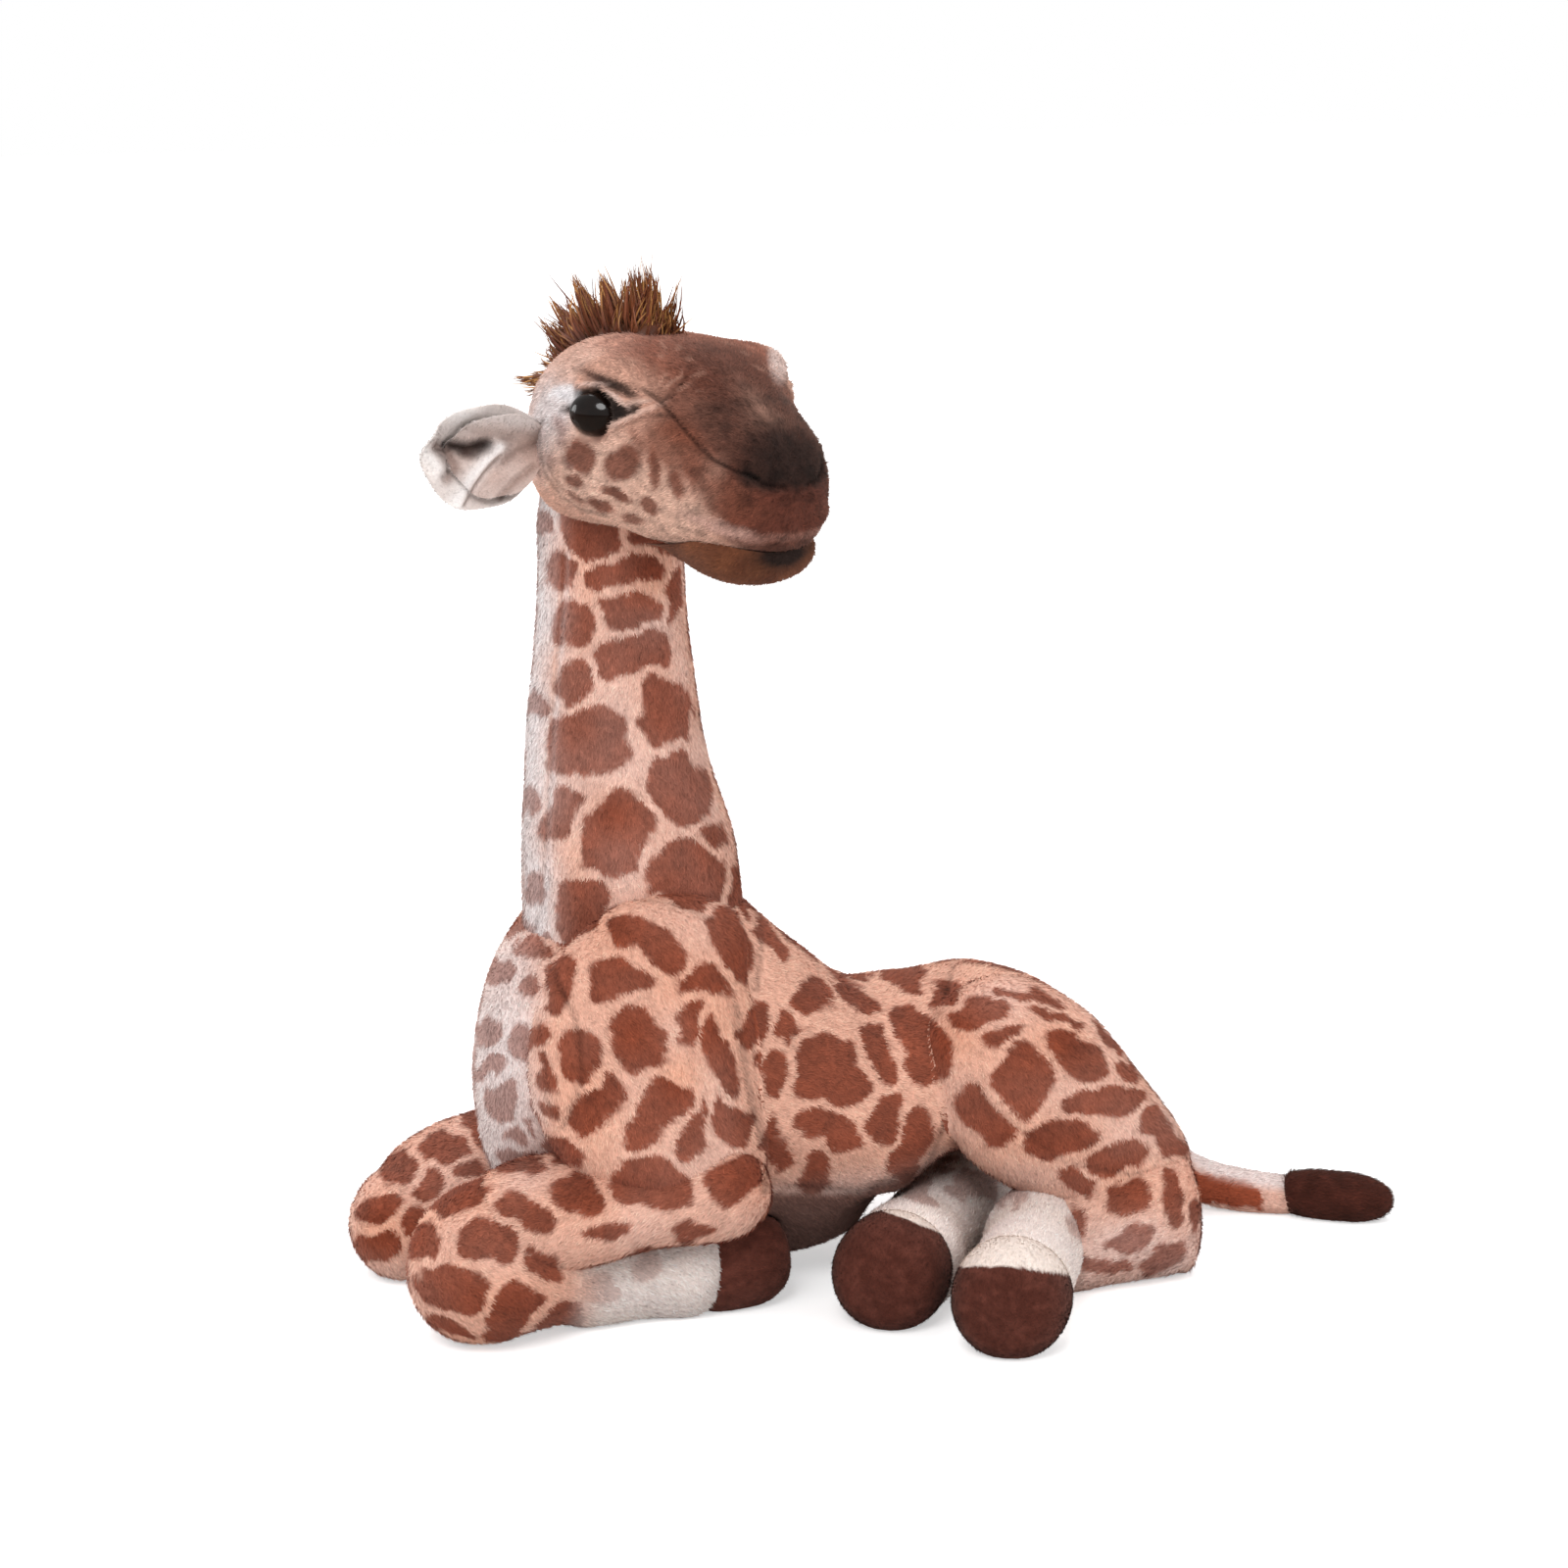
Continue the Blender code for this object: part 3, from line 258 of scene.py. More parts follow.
def nearness(bag, points):
    # the superellipse sum |x/w|^n + |z/h|^n at each point: under 1 inside the bag
    along, across, up = bag["along"][0], bag["across"][0], bag["up"][0]
    reach = points @ along
    line = bag["line"]
    at = lambda values: np.interp(reach, bag["reach"], values)
    x = points @ across - at(line[:, :3] @ across)
    z = points @ up - at(line[:, :3] @ up)
    wide, tall = np.maximum(at(line[:, 3]), 1e-5), np.maximum(at(line[:, 4]), 1e-5)
    n = bag["fullness"]
    low = np.where(z < 0, np.minimum(1, np.abs(z) / tall) ** (n / 2), 0)
    wide = wide * (1 - at(line[:, 5]) * low)
    near = (np.abs(x) / wide) ** n + (np.abs(z) / tall) ** n
    return np.where((reach < bag["reach"][0]) | (reach > bag["reach"][-1]), 99.0, near)


def pressOut(points, bag, gap=0.0004):
    # points inside another bag move out from its middle line to its skin: (p - c) q^(-1/n)
    along = bag["along"][0]
    for _ in range(3):
        near = nearness(bag, points)
        inside = near < 1
        reach = points @ along
        middle = np.stack([np.interp(reach, bag["reach"], bag["line"][:, k]) for k in range(3)], 1)
        middle += along * (reach - middle @ along)[:, None]
        away = points - middle
        size = np.linalg.norm(away, axis=1, keepdims=True)
        grown = away * np.maximum(near, 0.02)[:, None] ** (-1 / bag["fullness"])
        grown += away / np.maximum(size, 1e-9) * gap
        points = np.where(inside[:, None], middle + grown, points)
    return points


def pressIn(points, others, inward, step=0.0008, tries=40):
    # points that another bag needs step inwards until they are clear of it
    for _ in range(tries):
        inside = np.zeros(len(points), bool)
        for bag in others:
            inside |= nearness(bag, points) < 1
        if not inside.any():
            break
        points = np.where(inside[:, None], points + inward * step, points)
    return points


def roomToSwing(points, names, pivot, degrees, inward):
    # points that the named bags reach once they have turned about an upright hinge step inwards;
    # the bags stay and the points turn the other way: (x, y) times the turn, about the pivot
    c, s = math.cos(math.radians(degrees)), math.sin(math.radians(degrees))
    turn = np.array([[c, s, 0], [-s, c, 0], [0, 0, 1]])
    pivot = np.array([*pivot, 0.0])
    swung = pressIn((points - pivot) @ turn.T + pivot, [bags[n] for n in names], inward)
    return (swung - pivot) @ turn + pivot


def gridNormals(grid):
    # cross product of the steps along and round the grid; the poles take their ring's mean
    along = np.gradient(grid, axis=0)
    around = np.roll(grid, -1, 1) - np.roll(grid, 1, 1)
    normal = np.cross(around, along)
    normal[0], normal[-1] = normal[1].mean(0), normal[-2].mean(0)
    return unit(normal)


def outwardNormals(grid, centre):
    # turned round all together when they point at the centre
    normals = gridNormals(grid)
    return -normals if ((grid - centre) * normals).sum() < 0 else normals


# coat
tones = {name: linear(value) for name, value in {
    "peach": "#EDB196", "pale": "#EBDEDC", "patch": "#9C4C32", "patchDeep": "#642D1D",
    "patchPale": "#985F4F", "cream": "#F7E7DD", "belly": "#6A4337", "hoof": "#744034",
    "hoofDeep": "#54291F", "tailTip": "#3C1B12",
}.items()}

# spots of the coat in the picture: x, y, half length, half width, turn in degrees
coatSpots = {
    "neck": [
        (572, 829, 25, 16, 72), (584, 699, 23, 13, 79), (586, 638, 17, 14, 71), (594, 935, 32, 29, -84),
        (601, 760, 38, 30, 12), (630, 853, 39, 29, 53), (634, 583, 36, 14, 10), (640, 621, 27, 12, -1),
        (644, 667, 38, 19, 15), (678, 728, 35, 24, -88), (684, 604, 24, 5, 88), (692, 804, 35, 24, -56),
        (702, 900, 38, 35, 43), (729, 849, 15, 5, -63), (757, 915, 24, 6, -76), (601, 545, 30, 16, -50),
        (574, 583, 16, 10, 70), (667, 547, 29, 13, -15), (553, 720, 9, 16, 80), (545, 820, 8, 14, 80),
        (548, 905, 12, 9, 70), (559, 536, 10, 9, 0)],
    "shoulder": [
        (571, 1003, 31, 11, 59), (588, 1078, 24, 21, 60), (608, 1128, 34, 17, 52), (636, 1000, 26, 24, 40),
        (650, 1052, 40, 22, -70), (603, 956, 13, 10, 20), (656, 960, 50, 17, -26), (692, 930, 20, 10, -25),
        (716, 1008, 26, 13, 18), (704, 1044, 26, 13, 80), (736, 1078, 40, 12, -68), (670, 1138, 40, 17, 50),
        (712, 1154, 27, 12, 62), (748, 1146, 22, 15, -25), (748, 966, 32, 16, -62), (580, 1174, 20, 12, -15)],
    "forearm": [
        (530, 1184, 22, 10, -10), (540, 1240, 30, 14, -30), (590, 1222, 24, 14, -38), (664, 1211, 39, 21, -3),
        (751, 1202, 29, 16, 45), (619, 1262, 20, 6, 5), (700, 1254, 18, 6, 8), (664, 1284, 12, 8, 0)],
    "knee": [
        (464, 1316, 31, 19, -13), (498, 1269, 30, 16, -16), (468, 1219, 27, 16, 18), (523, 1342, 30, 19, 63),
        (569, 1351, 22, 16, 25), (555, 1291, 14, 7, -41), (431, 1267, 16, 11, 71), (465, 1353, 26, 4, -21),
        (637, 1349, 17, 4, 15)],
    "far": [
        (436, 1211, 19, 12, 20), (386, 1230, 17, 11, 42), (384, 1272, 28, 13, 25), (455, 1170, 26, 14, 25),
        (408, 1192, 18, 11, 35), (487, 1146, 13, 18, 60), (420, 1252, 14, 10, 60), (480, 1190, 14, 9, 20)],
    "torso": [
        (513, 1119, 25, 12, 80), (545, 1149, 15, 8, -63), (786, 961, 25, 10, -46), (787, 1174, 25, 13, -81),
        (789, 1093, 27, 11, -88), (775, 1048, 22, 16, 60), (800, 1048, 26, 14, 20), (825, 1020, 26, 12, 60),
        (832, 1197, 15, 12, 74), (846, 1093, 34, 32, 5), (850, 1154, 31, 17, -21), (873, 1016, 29, 11, -36),
        (896, 1073, 32, 15, -68), (906, 1140, 25, 16, 77), (941, 1066, 40, 18, -67), (923, 992, 24, 14, -40),
        (933, 1165, 34, 14, 60), (963, 1016, 12, 9, 9)],
    "thigh": [
        (1004, 1030, 36, 14, 18), (1018, 1057, 19, 11, 28), (1052, 1018, 40, 6, -22), (1076, 1038, 30, 6, -20),
        (1100, 1076, 35, 14, -30), (1040, 1104, 32, 27, 50), (1130, 1124, 37, 18, 8), (1006, 1137, 31, 18, -42),
        (1082, 1166, 31, 18, 6), (1140, 1181, 33, 11, 12), (1186, 1158, 27, 12, -52), (1136, 1060, 22, 4, -42),
        (1155, 1090, 18, 4, -55)],
    "shin": [
        (1104, 1205, 15, 9, -20), (1152, 1218, 18, 15, 10), (1196, 1220, 28, 10, 88), (1219, 1239, 15, 4, -82),
        (1152, 1263, 25, 10, 22), (1124, 1286, 28, 7, -10), (1183, 1283, 24, 11, 16), (1104, 1244, 12, 7, 80)],
    "rearFoot": [(1022, 1219, 17, 8, 12), (1070, 1205, 13, 11, 0), (1101, 1252, 14, 6, -78)],
    "farFoot": [(990, 1206, 22, 15, -20), (938, 1216, 11, 8, 0), (968, 1190, 14, 8, 20)],
    "tail": [(1251, 1216, 37, 13, -13)],
    "cannon": [(590, 1282, 15, 6, -20), (614, 1315, 17, 12, 0), (661, 1291, 12, 11, 10)],
}
coatSpots["chest"] = [
    (512, 991, 10, 16, 80), (503, 1052, 9, 18, 80), (536, 1062, 12, 20, 70), (505, 1092, 12, 15, -60),
    (553, 1140, 15, 8, -60), (524, 946, 8, 14, 70), (545, 965, 9, 18, 75), (541, 1010, 8, 16, 80),
    (560, 1096, 9, 13, 60), (526, 1160, 16, 9, -20)]
coatSpots["near"] = [spot for part in ("neck", "shoulder", "forearm", "knee", "torso", "thigh", "shin", "chest")
                     for spot in coatSpots[part]]
toCamera = lambda points: unit(shotPlace - points)
# noise that roughens the spots: grain in metres, and its reach in pixels or in metres
seenEdges = [(0.0120, 8.0), (0.0056, 5.2), (0.0022, 2.0)]
hiddenEdges = [(0.0110, 0.0026), (0.0052, 0.0015), (0.0021, 0.0006)]


def spotEdges(spots, points, seed):
    # pixels to the nearest and the next spot's edge, r - r / e with e the superellipse radius
    px = inPicture(points)
    for size, reach in seenEdges:
        px = px + reach * np.stack([cloud(points, size, seed), cloud(points, size, seed + 1)], 1)
    first, second = np.full(len(points), 99.0), np.full(len(points), 99.0)
    for x, y, a, b, degrees in spots:
        c, s = math.cos(math.radians(degrees)), math.sin(math.radians(degrees))
        dx, dy = px[:, 0] - x, y - px[:, 1]
        u, v = np.abs(dx * c + dy * s) / a, np.abs(dy * c - dx * s) / b
        e = np.maximum((u ** 2.8 + v ** 2.8) ** (1 / 2.8), 0.02)
        r = np.hypot(dx, dy)
        edge = r - np.where(r > 1, r / e, min(a, b))
        second = np.minimum(second, np.maximum(first, edge))
        first = np.minimum(first, edge)
    return first, second


def spotShare(spots, points, seed, grow=4.5, gap=9.0, soft=2.6):
    # a spot grows until a pale line of the gap's width parts it from its neighbour
    first, second = spotEdges(spots, points, seed)
    return smooth(-soft, soft, grow - first) * smooth(gap - soft, gap + soft, second - first)


def scatter(points, facing, seed, spacing):
    # seeds for the spots of the hidden side: points kept when no earlier one is within the spacing
    rng = np.random.default_rng(seed)
    free = np.flatnonzero((facing < 0.12) & (points[:, 2] > 0.004))
    kept = []
    for k in rng.permutation(free)[:2500]:
        if all(((points[k] - q[0]) ** 2).sum() > (spacing * q[1]) ** 2 for q in kept):
            kept.append((points[k], rng.uniform(0.75, 1.15), unit(rng.normal(size=3)), rng.uniform(0.1, 0.4)))
    return kept


def scatteredShare(seeds, points, seed, gap=0.0030, reach=0.0085, soft=0.0006, grow=0.004):
    # cells round the seeds, parted by pale lines: next distance less nearest over the gap
    moved = points.copy()
    for size, sway in hiddenEdges:
        moved += sway * np.stack([cloud(points, size, seed + k) for k in (4, 5, 6)], 1)
    first, second = np.full(len(points), 1.0), np.full(len(points), 1.0)
    for middle, size, way, stretch in seeds:
        d = moved - middle
        d = np.linalg.norm(d - (d @ way)[:, None] * way * stretch, axis=1) - grow * size
        second = np.minimum(second, np.maximum(first, d))
        first = np.minimum(first, d)
    return smooth(gap - soft, gap + soft, second - first) * smooth(-soft, soft, reach - first)


def spotted(kind, seeds, seed, pale, shade=None):
    # coat colour: ground from peach to pale, spots over it, greyer where the ground is pale, then the painted shade if
    # one is given
    def colour(points, normals):
        facing = (normals * toCamera(points)).sum(1)
        share = np.maximum(spotShare(coatSpots[kind], points, seed) * smooth(-0.10, 0.06, facing),
                           scatteredShare(seeds, points, seed) * smooth(0.24, 0.10, facing))
        light = pale(points, normals)
        ground = mix(tones["peach"], tones["pale"], light)
        deep = 0.5 + 0.35 * cloud(points, 0.009, seed + 20) + 0.30 * cloud(points, 0.0028, seed + 23)
        spot = mix(tones["patch"], tones["patchDeep"], np.clip(deep, 0, 1) * 0.8)
        spot = mix(spot, tones["patchPale"], np.clip(light * 0.8, 0, 0.75))
        tint = 1 + 0.08 * cloud(points, 0.014, seed + 21) + 0.09 * cloud(points, 0.0024, seed + 22)
        found = mix(ground, spot, share * (1 - 0.35 * light)) * tint[:, None]
        return shade(points, found) if shade else found
    return colour


# meshes with nap
def growNap(grid, normals, hidden, nap, colour, seed):
    # one tapered blade for each tuft, rooted evenly over the skin, running along the lay at the lift
    rng = np.random.default_rng(seed)
    a, b, c, d = grid[:-1], grid[1:], np.roll(grid, -1, 1)[:-1], np.roll(grid, -1, 1)[1:]
    area = 0.5 * np.linalg.norm(np.cross(d - a, b - c), axis=2)
    bare = hidden[:-1] | hidden[1:] | np.roll(hidden, -1, 1)[:-1]
    area = np.where(bare, 0, area)
    count = int(area.sum() * 1e6 * nap["density"] * (1.0))
    if count < 10:
        return None
    steps = np.cumsum(area.ravel())
    cell = np.searchsorted(steps, (np.arange(count) + rng.random(count)) / count * steps[-1])
    cell = np.minimum(cell, area.size - 1)
    i, j = cell // area.shape[1], cell % area.shape[1]
    s, t = rng.random((2, count))[:, :, None]
    j2 = (j + 1) % grid.shape[1]
    blendAt = lambda g: ((g[i, j] * (1 - s) + g[i + 1, j] * s) * (1 - t)
                         + (g[i, j2] * (1 - s) + g[i + 1, j2] * s) * t)
    root, n = blendAt(grid), unit(blendAt(normals))
    keep = (root[:, 2] > nap["floor"]) & nap["clear"](root)
    for other in nap["others"]:
        keep &= nearness(other, root) > 1.0
    root, n = root[keep], n[keep]
    count = len(root)
    lay = nap["lay"](root, n) if callable(nap["lay"]) else np.repeat(np.array([nap["lay"]], float), count, 0)
    lay = unit(lay) + nap["mess"] * rng.normal(size=(count, 3))
    lay = lay + 0.40 * np.stack([cloud(root, 0.014, seed + k) for k in (31, 32, 33)], 1)
    lay = unit(lay - n * (lay * n).sum(1)[:, None])
    lift = np.radians(rng.normal(nap["lift"], 6, count))[:, None]
    wide = 1.0
    length = nap["length"] * rng.uniform(0.65, 1.25, count)[:, None]
    width = nap["width"] * wide * rng.uniform(0.7, 1.3, count)[:, None]
    side = unit(np.cross(lay, n) + 0.35 * rng.normal(size=(count, 1)) * n)
    tip = root + (lay * np.cos(lift) + n * np.sin(lift)) * length
    sunk = root - n * 0.0002
    corners = np.stack([sunk - side * width / 2, sunk + side * width / 2, tip], 1)
    corners[..., 2] = np.maximum(corners[..., 2], 0.0003)
    base = colour(0.45 * tip + 0.55 * root + 0.0002 * rng.normal(size=(count, 3)), n)
    base = base * (1 + nap["fleck"] * rng.normal(size=(count, 1))).clip(0.6, 1.45)
    # painted shade at each blade's root and painted light at its tip
    shade = np.array([nap["root"], nap["root"], nap["tip"]])
    colours = base[:, None] * shade[None, :, None]
    faces = np.arange(count * 3).reshape(-1, 3)
    bend = unit(n + 0.22 * side * rng.normal(size=(count, 1)) + 0.15 * lay)
    return {"points": corners.reshape(-1, 3), "faces": faces, "colours": colours.reshape(-1, 3),
            "normals": np.repeat(bend, 3, 0), "count": count}


def gridFaces(rings, columns):
    # quads between rings, and a fan of triangles round each pole; vertex 0 and the last are the poles
    i = np.arange(rings - 1)[:, None]
    j = np.arange(columns)[None]
    at = lambda ring, column: 1 + ring * columns + column % columns
    quads = np.stack([at(i, j), at(i + 1, j), at(i + 1, j + 1), at(i, j + 1)], -1).reshape(-1, 4)
    j = np.arange(columns)
    fan = np.stack([np.zeros(columns, int), at(0, j), at(0, j + 1)], 1)
    end = 1 + rings * columns
    farFan = np.stack([np.full(columns, end), at(rings - 1, j + 1), at(rings - 1, j)], 1)
    return quads, np.vstack([fan, farFan])


def mapCells(count, across, start, corners):
    # a cell of the bake's map for each blade, in rows from u = start to u = 1
    down = -(-count // across)
    order = np.arange(count)
    cell = np.array([(1 - start) / across, 1 / down])
    low = np.stack([start + order % across * cell[0], order // across * cell[1]], 1)
    return (low[:, None] + np.array(corners)[None] * cell).reshape(-1, 2)


def paintMesh(mesh, maps, colours):
    # the bake's map at each face's corner, and the coat's colour at each point
    layer = mesh.uv_layers.new(name="OFBake")
    layer.data.foreach_set("uv", maps.astype(np.float32).ravel())
    coat = mesh.color_attributes.new("coat", "FLOAT_COLOR", "POINT")
    rgba = np.hstack([np.clip(colours, 0, 1), np.ones((len(colours), 1))])
    coat.data.foreach_set("color", rgba.astype(np.float32).ravel())


def placeMesh(mesh, material):
    mesh.materials.append(material)
    thing = bpy.data.objects.new(mesh.name, mesh)
    scene.collection.objects.link(thing)
    return thing


def buildPiece(name, grid, normals, colours, blades, material):
    # the skin's grid with a point at each pole, then the blades; one mesh at the origin
    rings, columns = grid.shape[0] - 2, grid.shape[1]
    points = np.vstack([grid[0, :1], grid[1:-1].reshape(-1, 3), grid[-1, :1]])
    skinNormals = np.vstack([normals[0, :1], normals[1:-1].reshape(-1, 3), normals[-1, :1]])
    skinColours = np.vstack([colours[0, :1], colours[1:-1].reshape(-1, 3), colours[-1, :1]])
    quads, fans = gridFaces(rings, columns)
    inside = np.einsum("ij,ij->i", np.cross(points[quads[:, 2]] - points[quads[:, 0]],
                                            points[quads[:, 3]] - points[quads[:, 1]]),
                       skinNormals[quads[:, 0]]).sum() < 0
    if inside:
        quads, fans = quads[:, ::-1], fans[:, ::-1]
    u = np.repeat(np.arange(rings), columns) / max(1, rings - 1)
    v = np.tile(np.arange(columns), rings) / columns
    place = np.vstack([[0.0, 0.5], np.stack([0.005 + 0.485 * u, 0.005 + 0.98 * v], 1), [0.495, 0.5]])
    quadPlace, fanPlace = place[quads], place[fans]
    for corners in (quadPlace, fanPlace):
        wraps = (corners[..., 1].max(1) - corners[..., 1].min(1)) > 0.5
        low = wraps[:, None] & (corners[..., 1] < 0.3)
        corners[..., 1] = np.where(low, 0.99, corners[..., 1])
    loops = [quads.ravel(), fans.ravel()]
    sizes = [np.full(len(quads), 4), np.full(len(fans), 3)]
    maps = [quadPlace.reshape(-1, 2), fanPlace.reshape(-1, 2)]
    if blades:
        loops.append((blades["faces"] + len(points)).ravel())
        sizes.append(np.full(len(blades["faces"]), 3))
        points = np.vstack([points, blades["points"]])
        skinNormals = np.vstack([skinNormals, blades["normals"]])
        skinColours = np.vstack([skinColours, blades["colours"]])
        n = blades["count"]
        cells = mapCells(n, max(1, int(math.sqrt(n / 2))), 0.5, [[0.1, 0.1], [0.9, 0.1], [0.5, 0.9]])
        maps.append(cells[blades["faces"].ravel()])
    loops, sizes = np.concatenate(loops), np.concatenate(sizes)
    mesh = bpy.data.meshes.new(name)
    mesh.vertices.add(len(points))
    mesh.vertices.foreach_set("co", points.astype(np.float32).ravel())
    mesh.loops.add(len(loops))
    mesh.loops.foreach_set("vertex_index", loops.astype(np.int32))
    mesh.polygons.add(len(sizes))
    mesh.polygons.foreach_set("loop_start", (np.cumsum(sizes) - sizes).astype(np.int32))
    mesh.update(calc_edges=True)
    paintMesh(mesh, np.vstack(maps), skinColours)
    mesh.shade_smooth()
    mesh.normals_split_custom_set_from_vertices(skinNormals.astype(np.float32))
    print(f"  {name}: {len(points)} points, {len(sizes)} faces")
    return placeMesh(mesh, material)


# root and tip scale a blade's colour: painted shade at its root, painted light at its tip
napDefaults = {"density": 1.7, "length": 0.0026, "width": 0.00058, "lift": 15.0, "root": 0.71, "tip": 1.17,
               "mess": 0.30, "fleck": 0.13, "floor": 0.0012, "others": [], "clear": lambda root: True}
# how full the bags are, the painted shade of their skin between the fibres, how far skin has moved where it is
# pressed and bears no nap, and its least height
stuffing = {"fill": 0.8, "skinShade": 0.84, "pressed": 0.0006, "ground": 0.0004}


def dress(piece, body, node):
    # the neck has no body here, as a blend joins it to two
    if body:
        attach(piece, body)
    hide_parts(node)


def stuffedPiece(name, bag, spacing, colour, nap, body, node, lumps, seed, features=None, press=None):
    # skin from the bag, moved along its normals by lumps of stuffing and by its features
    grid = bagSurface(bag, spacing)
    normals = outwardNormals(grid, grid.mean((0, 1)))
    flat, flatNormals = grid.reshape(-1, 3), normals.reshape(-1, 3)
    push = lumps * (cloud(flat, 0.024, seed) + 0.45 * cloud(flat, 0.011, seed + 40))
    if features:
        push = push + features(flat, flatNormals)[0]
    flat = flat + flatNormals * push[:, None]
    before = flat
    if press:
        flat = press(flat)
    hidden = np.linalg.norm(flat - before, axis=1) > stuffing["pressed"]
    if "outward" in nap:
        hidden &= flatNormals @ np.array(nap["outward"], float) < 0.15
    flat[:, 2] = np.maximum(flat[:, 2], stuffing["ground"])
    grid = flat.reshape(grid.shape)
    grid[0], grid[-1] = grid[0].mean(0), grid[-1].mean(0)
    final = gridNormals(grid)
    final = final if (final * normals).sum() > 0 else -final

    def lit(points, n):
        base = colour(points, n)
        return base * features(points, n)[1][:, None] if features else base

    colours = lit(grid.reshape(-1, 3), final.reshape(-1, 3)) * stuffing["skinShade"]
    blades = growNap(grid, final, hidden.reshape(grid.shape[:2]), {**napDefaults, **nap}, lit, seed + 100)
    piece = buildPiece(name, grid, final, colours.reshape(grid.shape), blades, plushNap)
    dress(piece, body, node)
    return piece


def seamLine(points, line, width):
    # closeness to a polyline drawn in the picture, exp(-(d / width)^2), d and width in millimetres
    px = inPicture(points)
    best = np.full(len(points), 1e9)
    for (x0, y0), (x1, y1) in zip(line, line[1:]):
        ax, ay = x1 - x0, y1 - y0
        t = np.clip(((px[:, 0] - x0) * ax + (px[:, 1] - y0) * ay) / (ax * ax + ay * ay), 0, 1)
        best = np.minimum(best, np.hypot(px[:, 0] - x0 - t * ax, px[:, 1] - y0 - t * ay))
    return np.exp(-(best * shot["pixel"] / width) ** 2)


def seams(lines, depth=0.0011, width=1.5, dark=0.35):
    # a sewn seam: the skin dips along the line and the nap there lies in shade
    def features(points, normals):
        facing = smooth(0.05, 0.30, (normals * toCamera(points)).sum(1))
        move, shade = np.zeros(len(points)), np.ones(len(points))
        for line, scale in lines:
            close = seamLine(points, line, width * scale) * facing
            move -= depth * scale * close
            shade *= 1 - dark * min(scale, 1.6) * close
        return move, shade
    return features


# bags of the body, sizes in metres; each row gives shares of them
torsoSize = {"long": 0.240, "start": -0.066, "high": 0.146, "wide": 0.104}
# along, middle's height, half width, half height, keel
torsoRows = [
    (0.004, 0.63, 0.12, 0.13, 0.00), (0.040, 0.61, 0.32, 0.31, 0.30), (0.140, 0.55, 0.45, 0.470, 0.50),
    (0.300, 0.49, 0.50, 0.545, 0.50), (0.430, 0.445, 0.50, 0.430, 0.40), (0.550, 0.400, 0.50, 0.330, 0.15),
    (0.690, 0.485, 0.48, 0.222, 0.00), (0.830, 0.500, 0.44, 0.205, 0.00), (0.965, 0.430, 0.26, 0.130, 0.00),
    (1.000, 0.415, 0.10, 0.045, 0.00)]
torsoBag = loft([(p * torsoSize["long"] + torsoSize["start"], 0, m * torsoSize["high"], w * torsoSize["wide"],
                  h * torsoSize["high"], k) for p, m, w, h, k in torsoRows], fullness=2.2)

neckSize = {"root": np.array([-0.010, 0.0, 0.150]), "long": 0.134, "sway": 0.007, "radius": 0.0395}
# along, sway forward, half width, half depth
neckRows = [(-0.30, -0.20, 0.86, 1.05), (-0.10, 0.00, 0.90, 1.00), (0.08, 0.20, 0.87, 0.96),
            (0.34, 0.80, 0.76, 0.82), (0.62, 0.95, 0.68, 0.70), (0.86, 1.00, 0.64, 0.645), (1.00, 1.00, 0.62, 0.63),
            (1.12, 1.0, 0.5, 0.5)]
neckBag = loft([(*(neckSize["root"] + [-s * neckSize["sway"], 0, p * neckSize["long"]]), w * neckSize["radius"],
                 d * neckSize["radius"]) for p, s, w, d in neckRows], upward=(1, 0, 0))

shoulderSize = {"out": 0.042, "foot": 0.0333, "deep": 0.084, "spread": 0.034, "high": 0.115}
# height, back, outwards, half depth, half thickness
shoulderRows = [(1.03, 0.12, -0.30, 0.12, 0.12), (0.95, 0.10, -0.20, 0.34, 0.32), (0.70, 0.02, 0.02, 0.48, 0.47),
                (0.40, 0.04, 0.14, 0.47, 0.54), (0.12, 0.21, 0.20, 0.32, 0.51), (0.00, 0.27, 0.20, 0.18, 0.34)]
forearmSize = {"elbow": (0.002, 0.051, 0.048), "wrist": 0.015, "lowWrist": 0.033, "wide": 0.042, "high": 0.030}
# along, half width, half height, lift
forearmRows = [(-0.22, 0.22, 0.24, 0.04), (-0.14, 0.45, 0.50, 0.06), (0.30, 0.53, 0.58, 0.04),
               (1.02, 0.46, 0.46, 0.0), (1.08, 0.30, 0.30, 0.0)]
thighSize = {"thick": 0.042, "deep": 0.066}
# along, outwards, half depth, half thickness
thighRows = [(-0.18, -0.12, 0.14, 0.16), (-0.09, -0.03, 0.36, 0.37), (0.22, 0.08, 0.51, 0.49),
             (0.62, 0.10, 0.44, 0.49), (1.00, 0.0, 0.30, 0.40), (1.10, 0.0, 0.14, 0.20)]
shinRadius = 0.025
shinRows = [(-0.30, 0.45), (-0.20, 0.90), (0.36, 1.05), (0.98, 0.66)]      # along, radius
clearance = 0.0003
ankleHeight = 0.0187
# the knee's ball in shares of its radius and its middle's height, then the cannon in metres
kneeRows = [(-0.985, 1, 0.15), (-0.90, 1, 0.44), (-0.55, 1, 0.84), (0, 1, 1), (0.48, 0.97, 0.90)]
cannonRows = [(0.056, 0.0162, 0.0167), (0.080, 0.0162, 0.0163), (0.083, 0.0162, 0.0120)]
footRows = [(-0.0186, 0.0187, 0.0032), (-0.0165, 0.0187, 0.0092), (-0.0095, 0.0187, 0.0164), (0, 0.0186, 0.0189),
            (0.018, 0.0178, 0.0180)]
# share of the hoof's length, share of its radius
hoofShares = [(-0.06, 0.90), (0.06, 1.06), (0.40, 1.14), (0.80, 0.98), (0.96, 0.76), (1.02, 0.40)]
frontHoof = {"length": 0.032, "radius": 0.0162, "seam": 0.078}
rearHoof = {"length": 0.029, "radius": 0.0182}
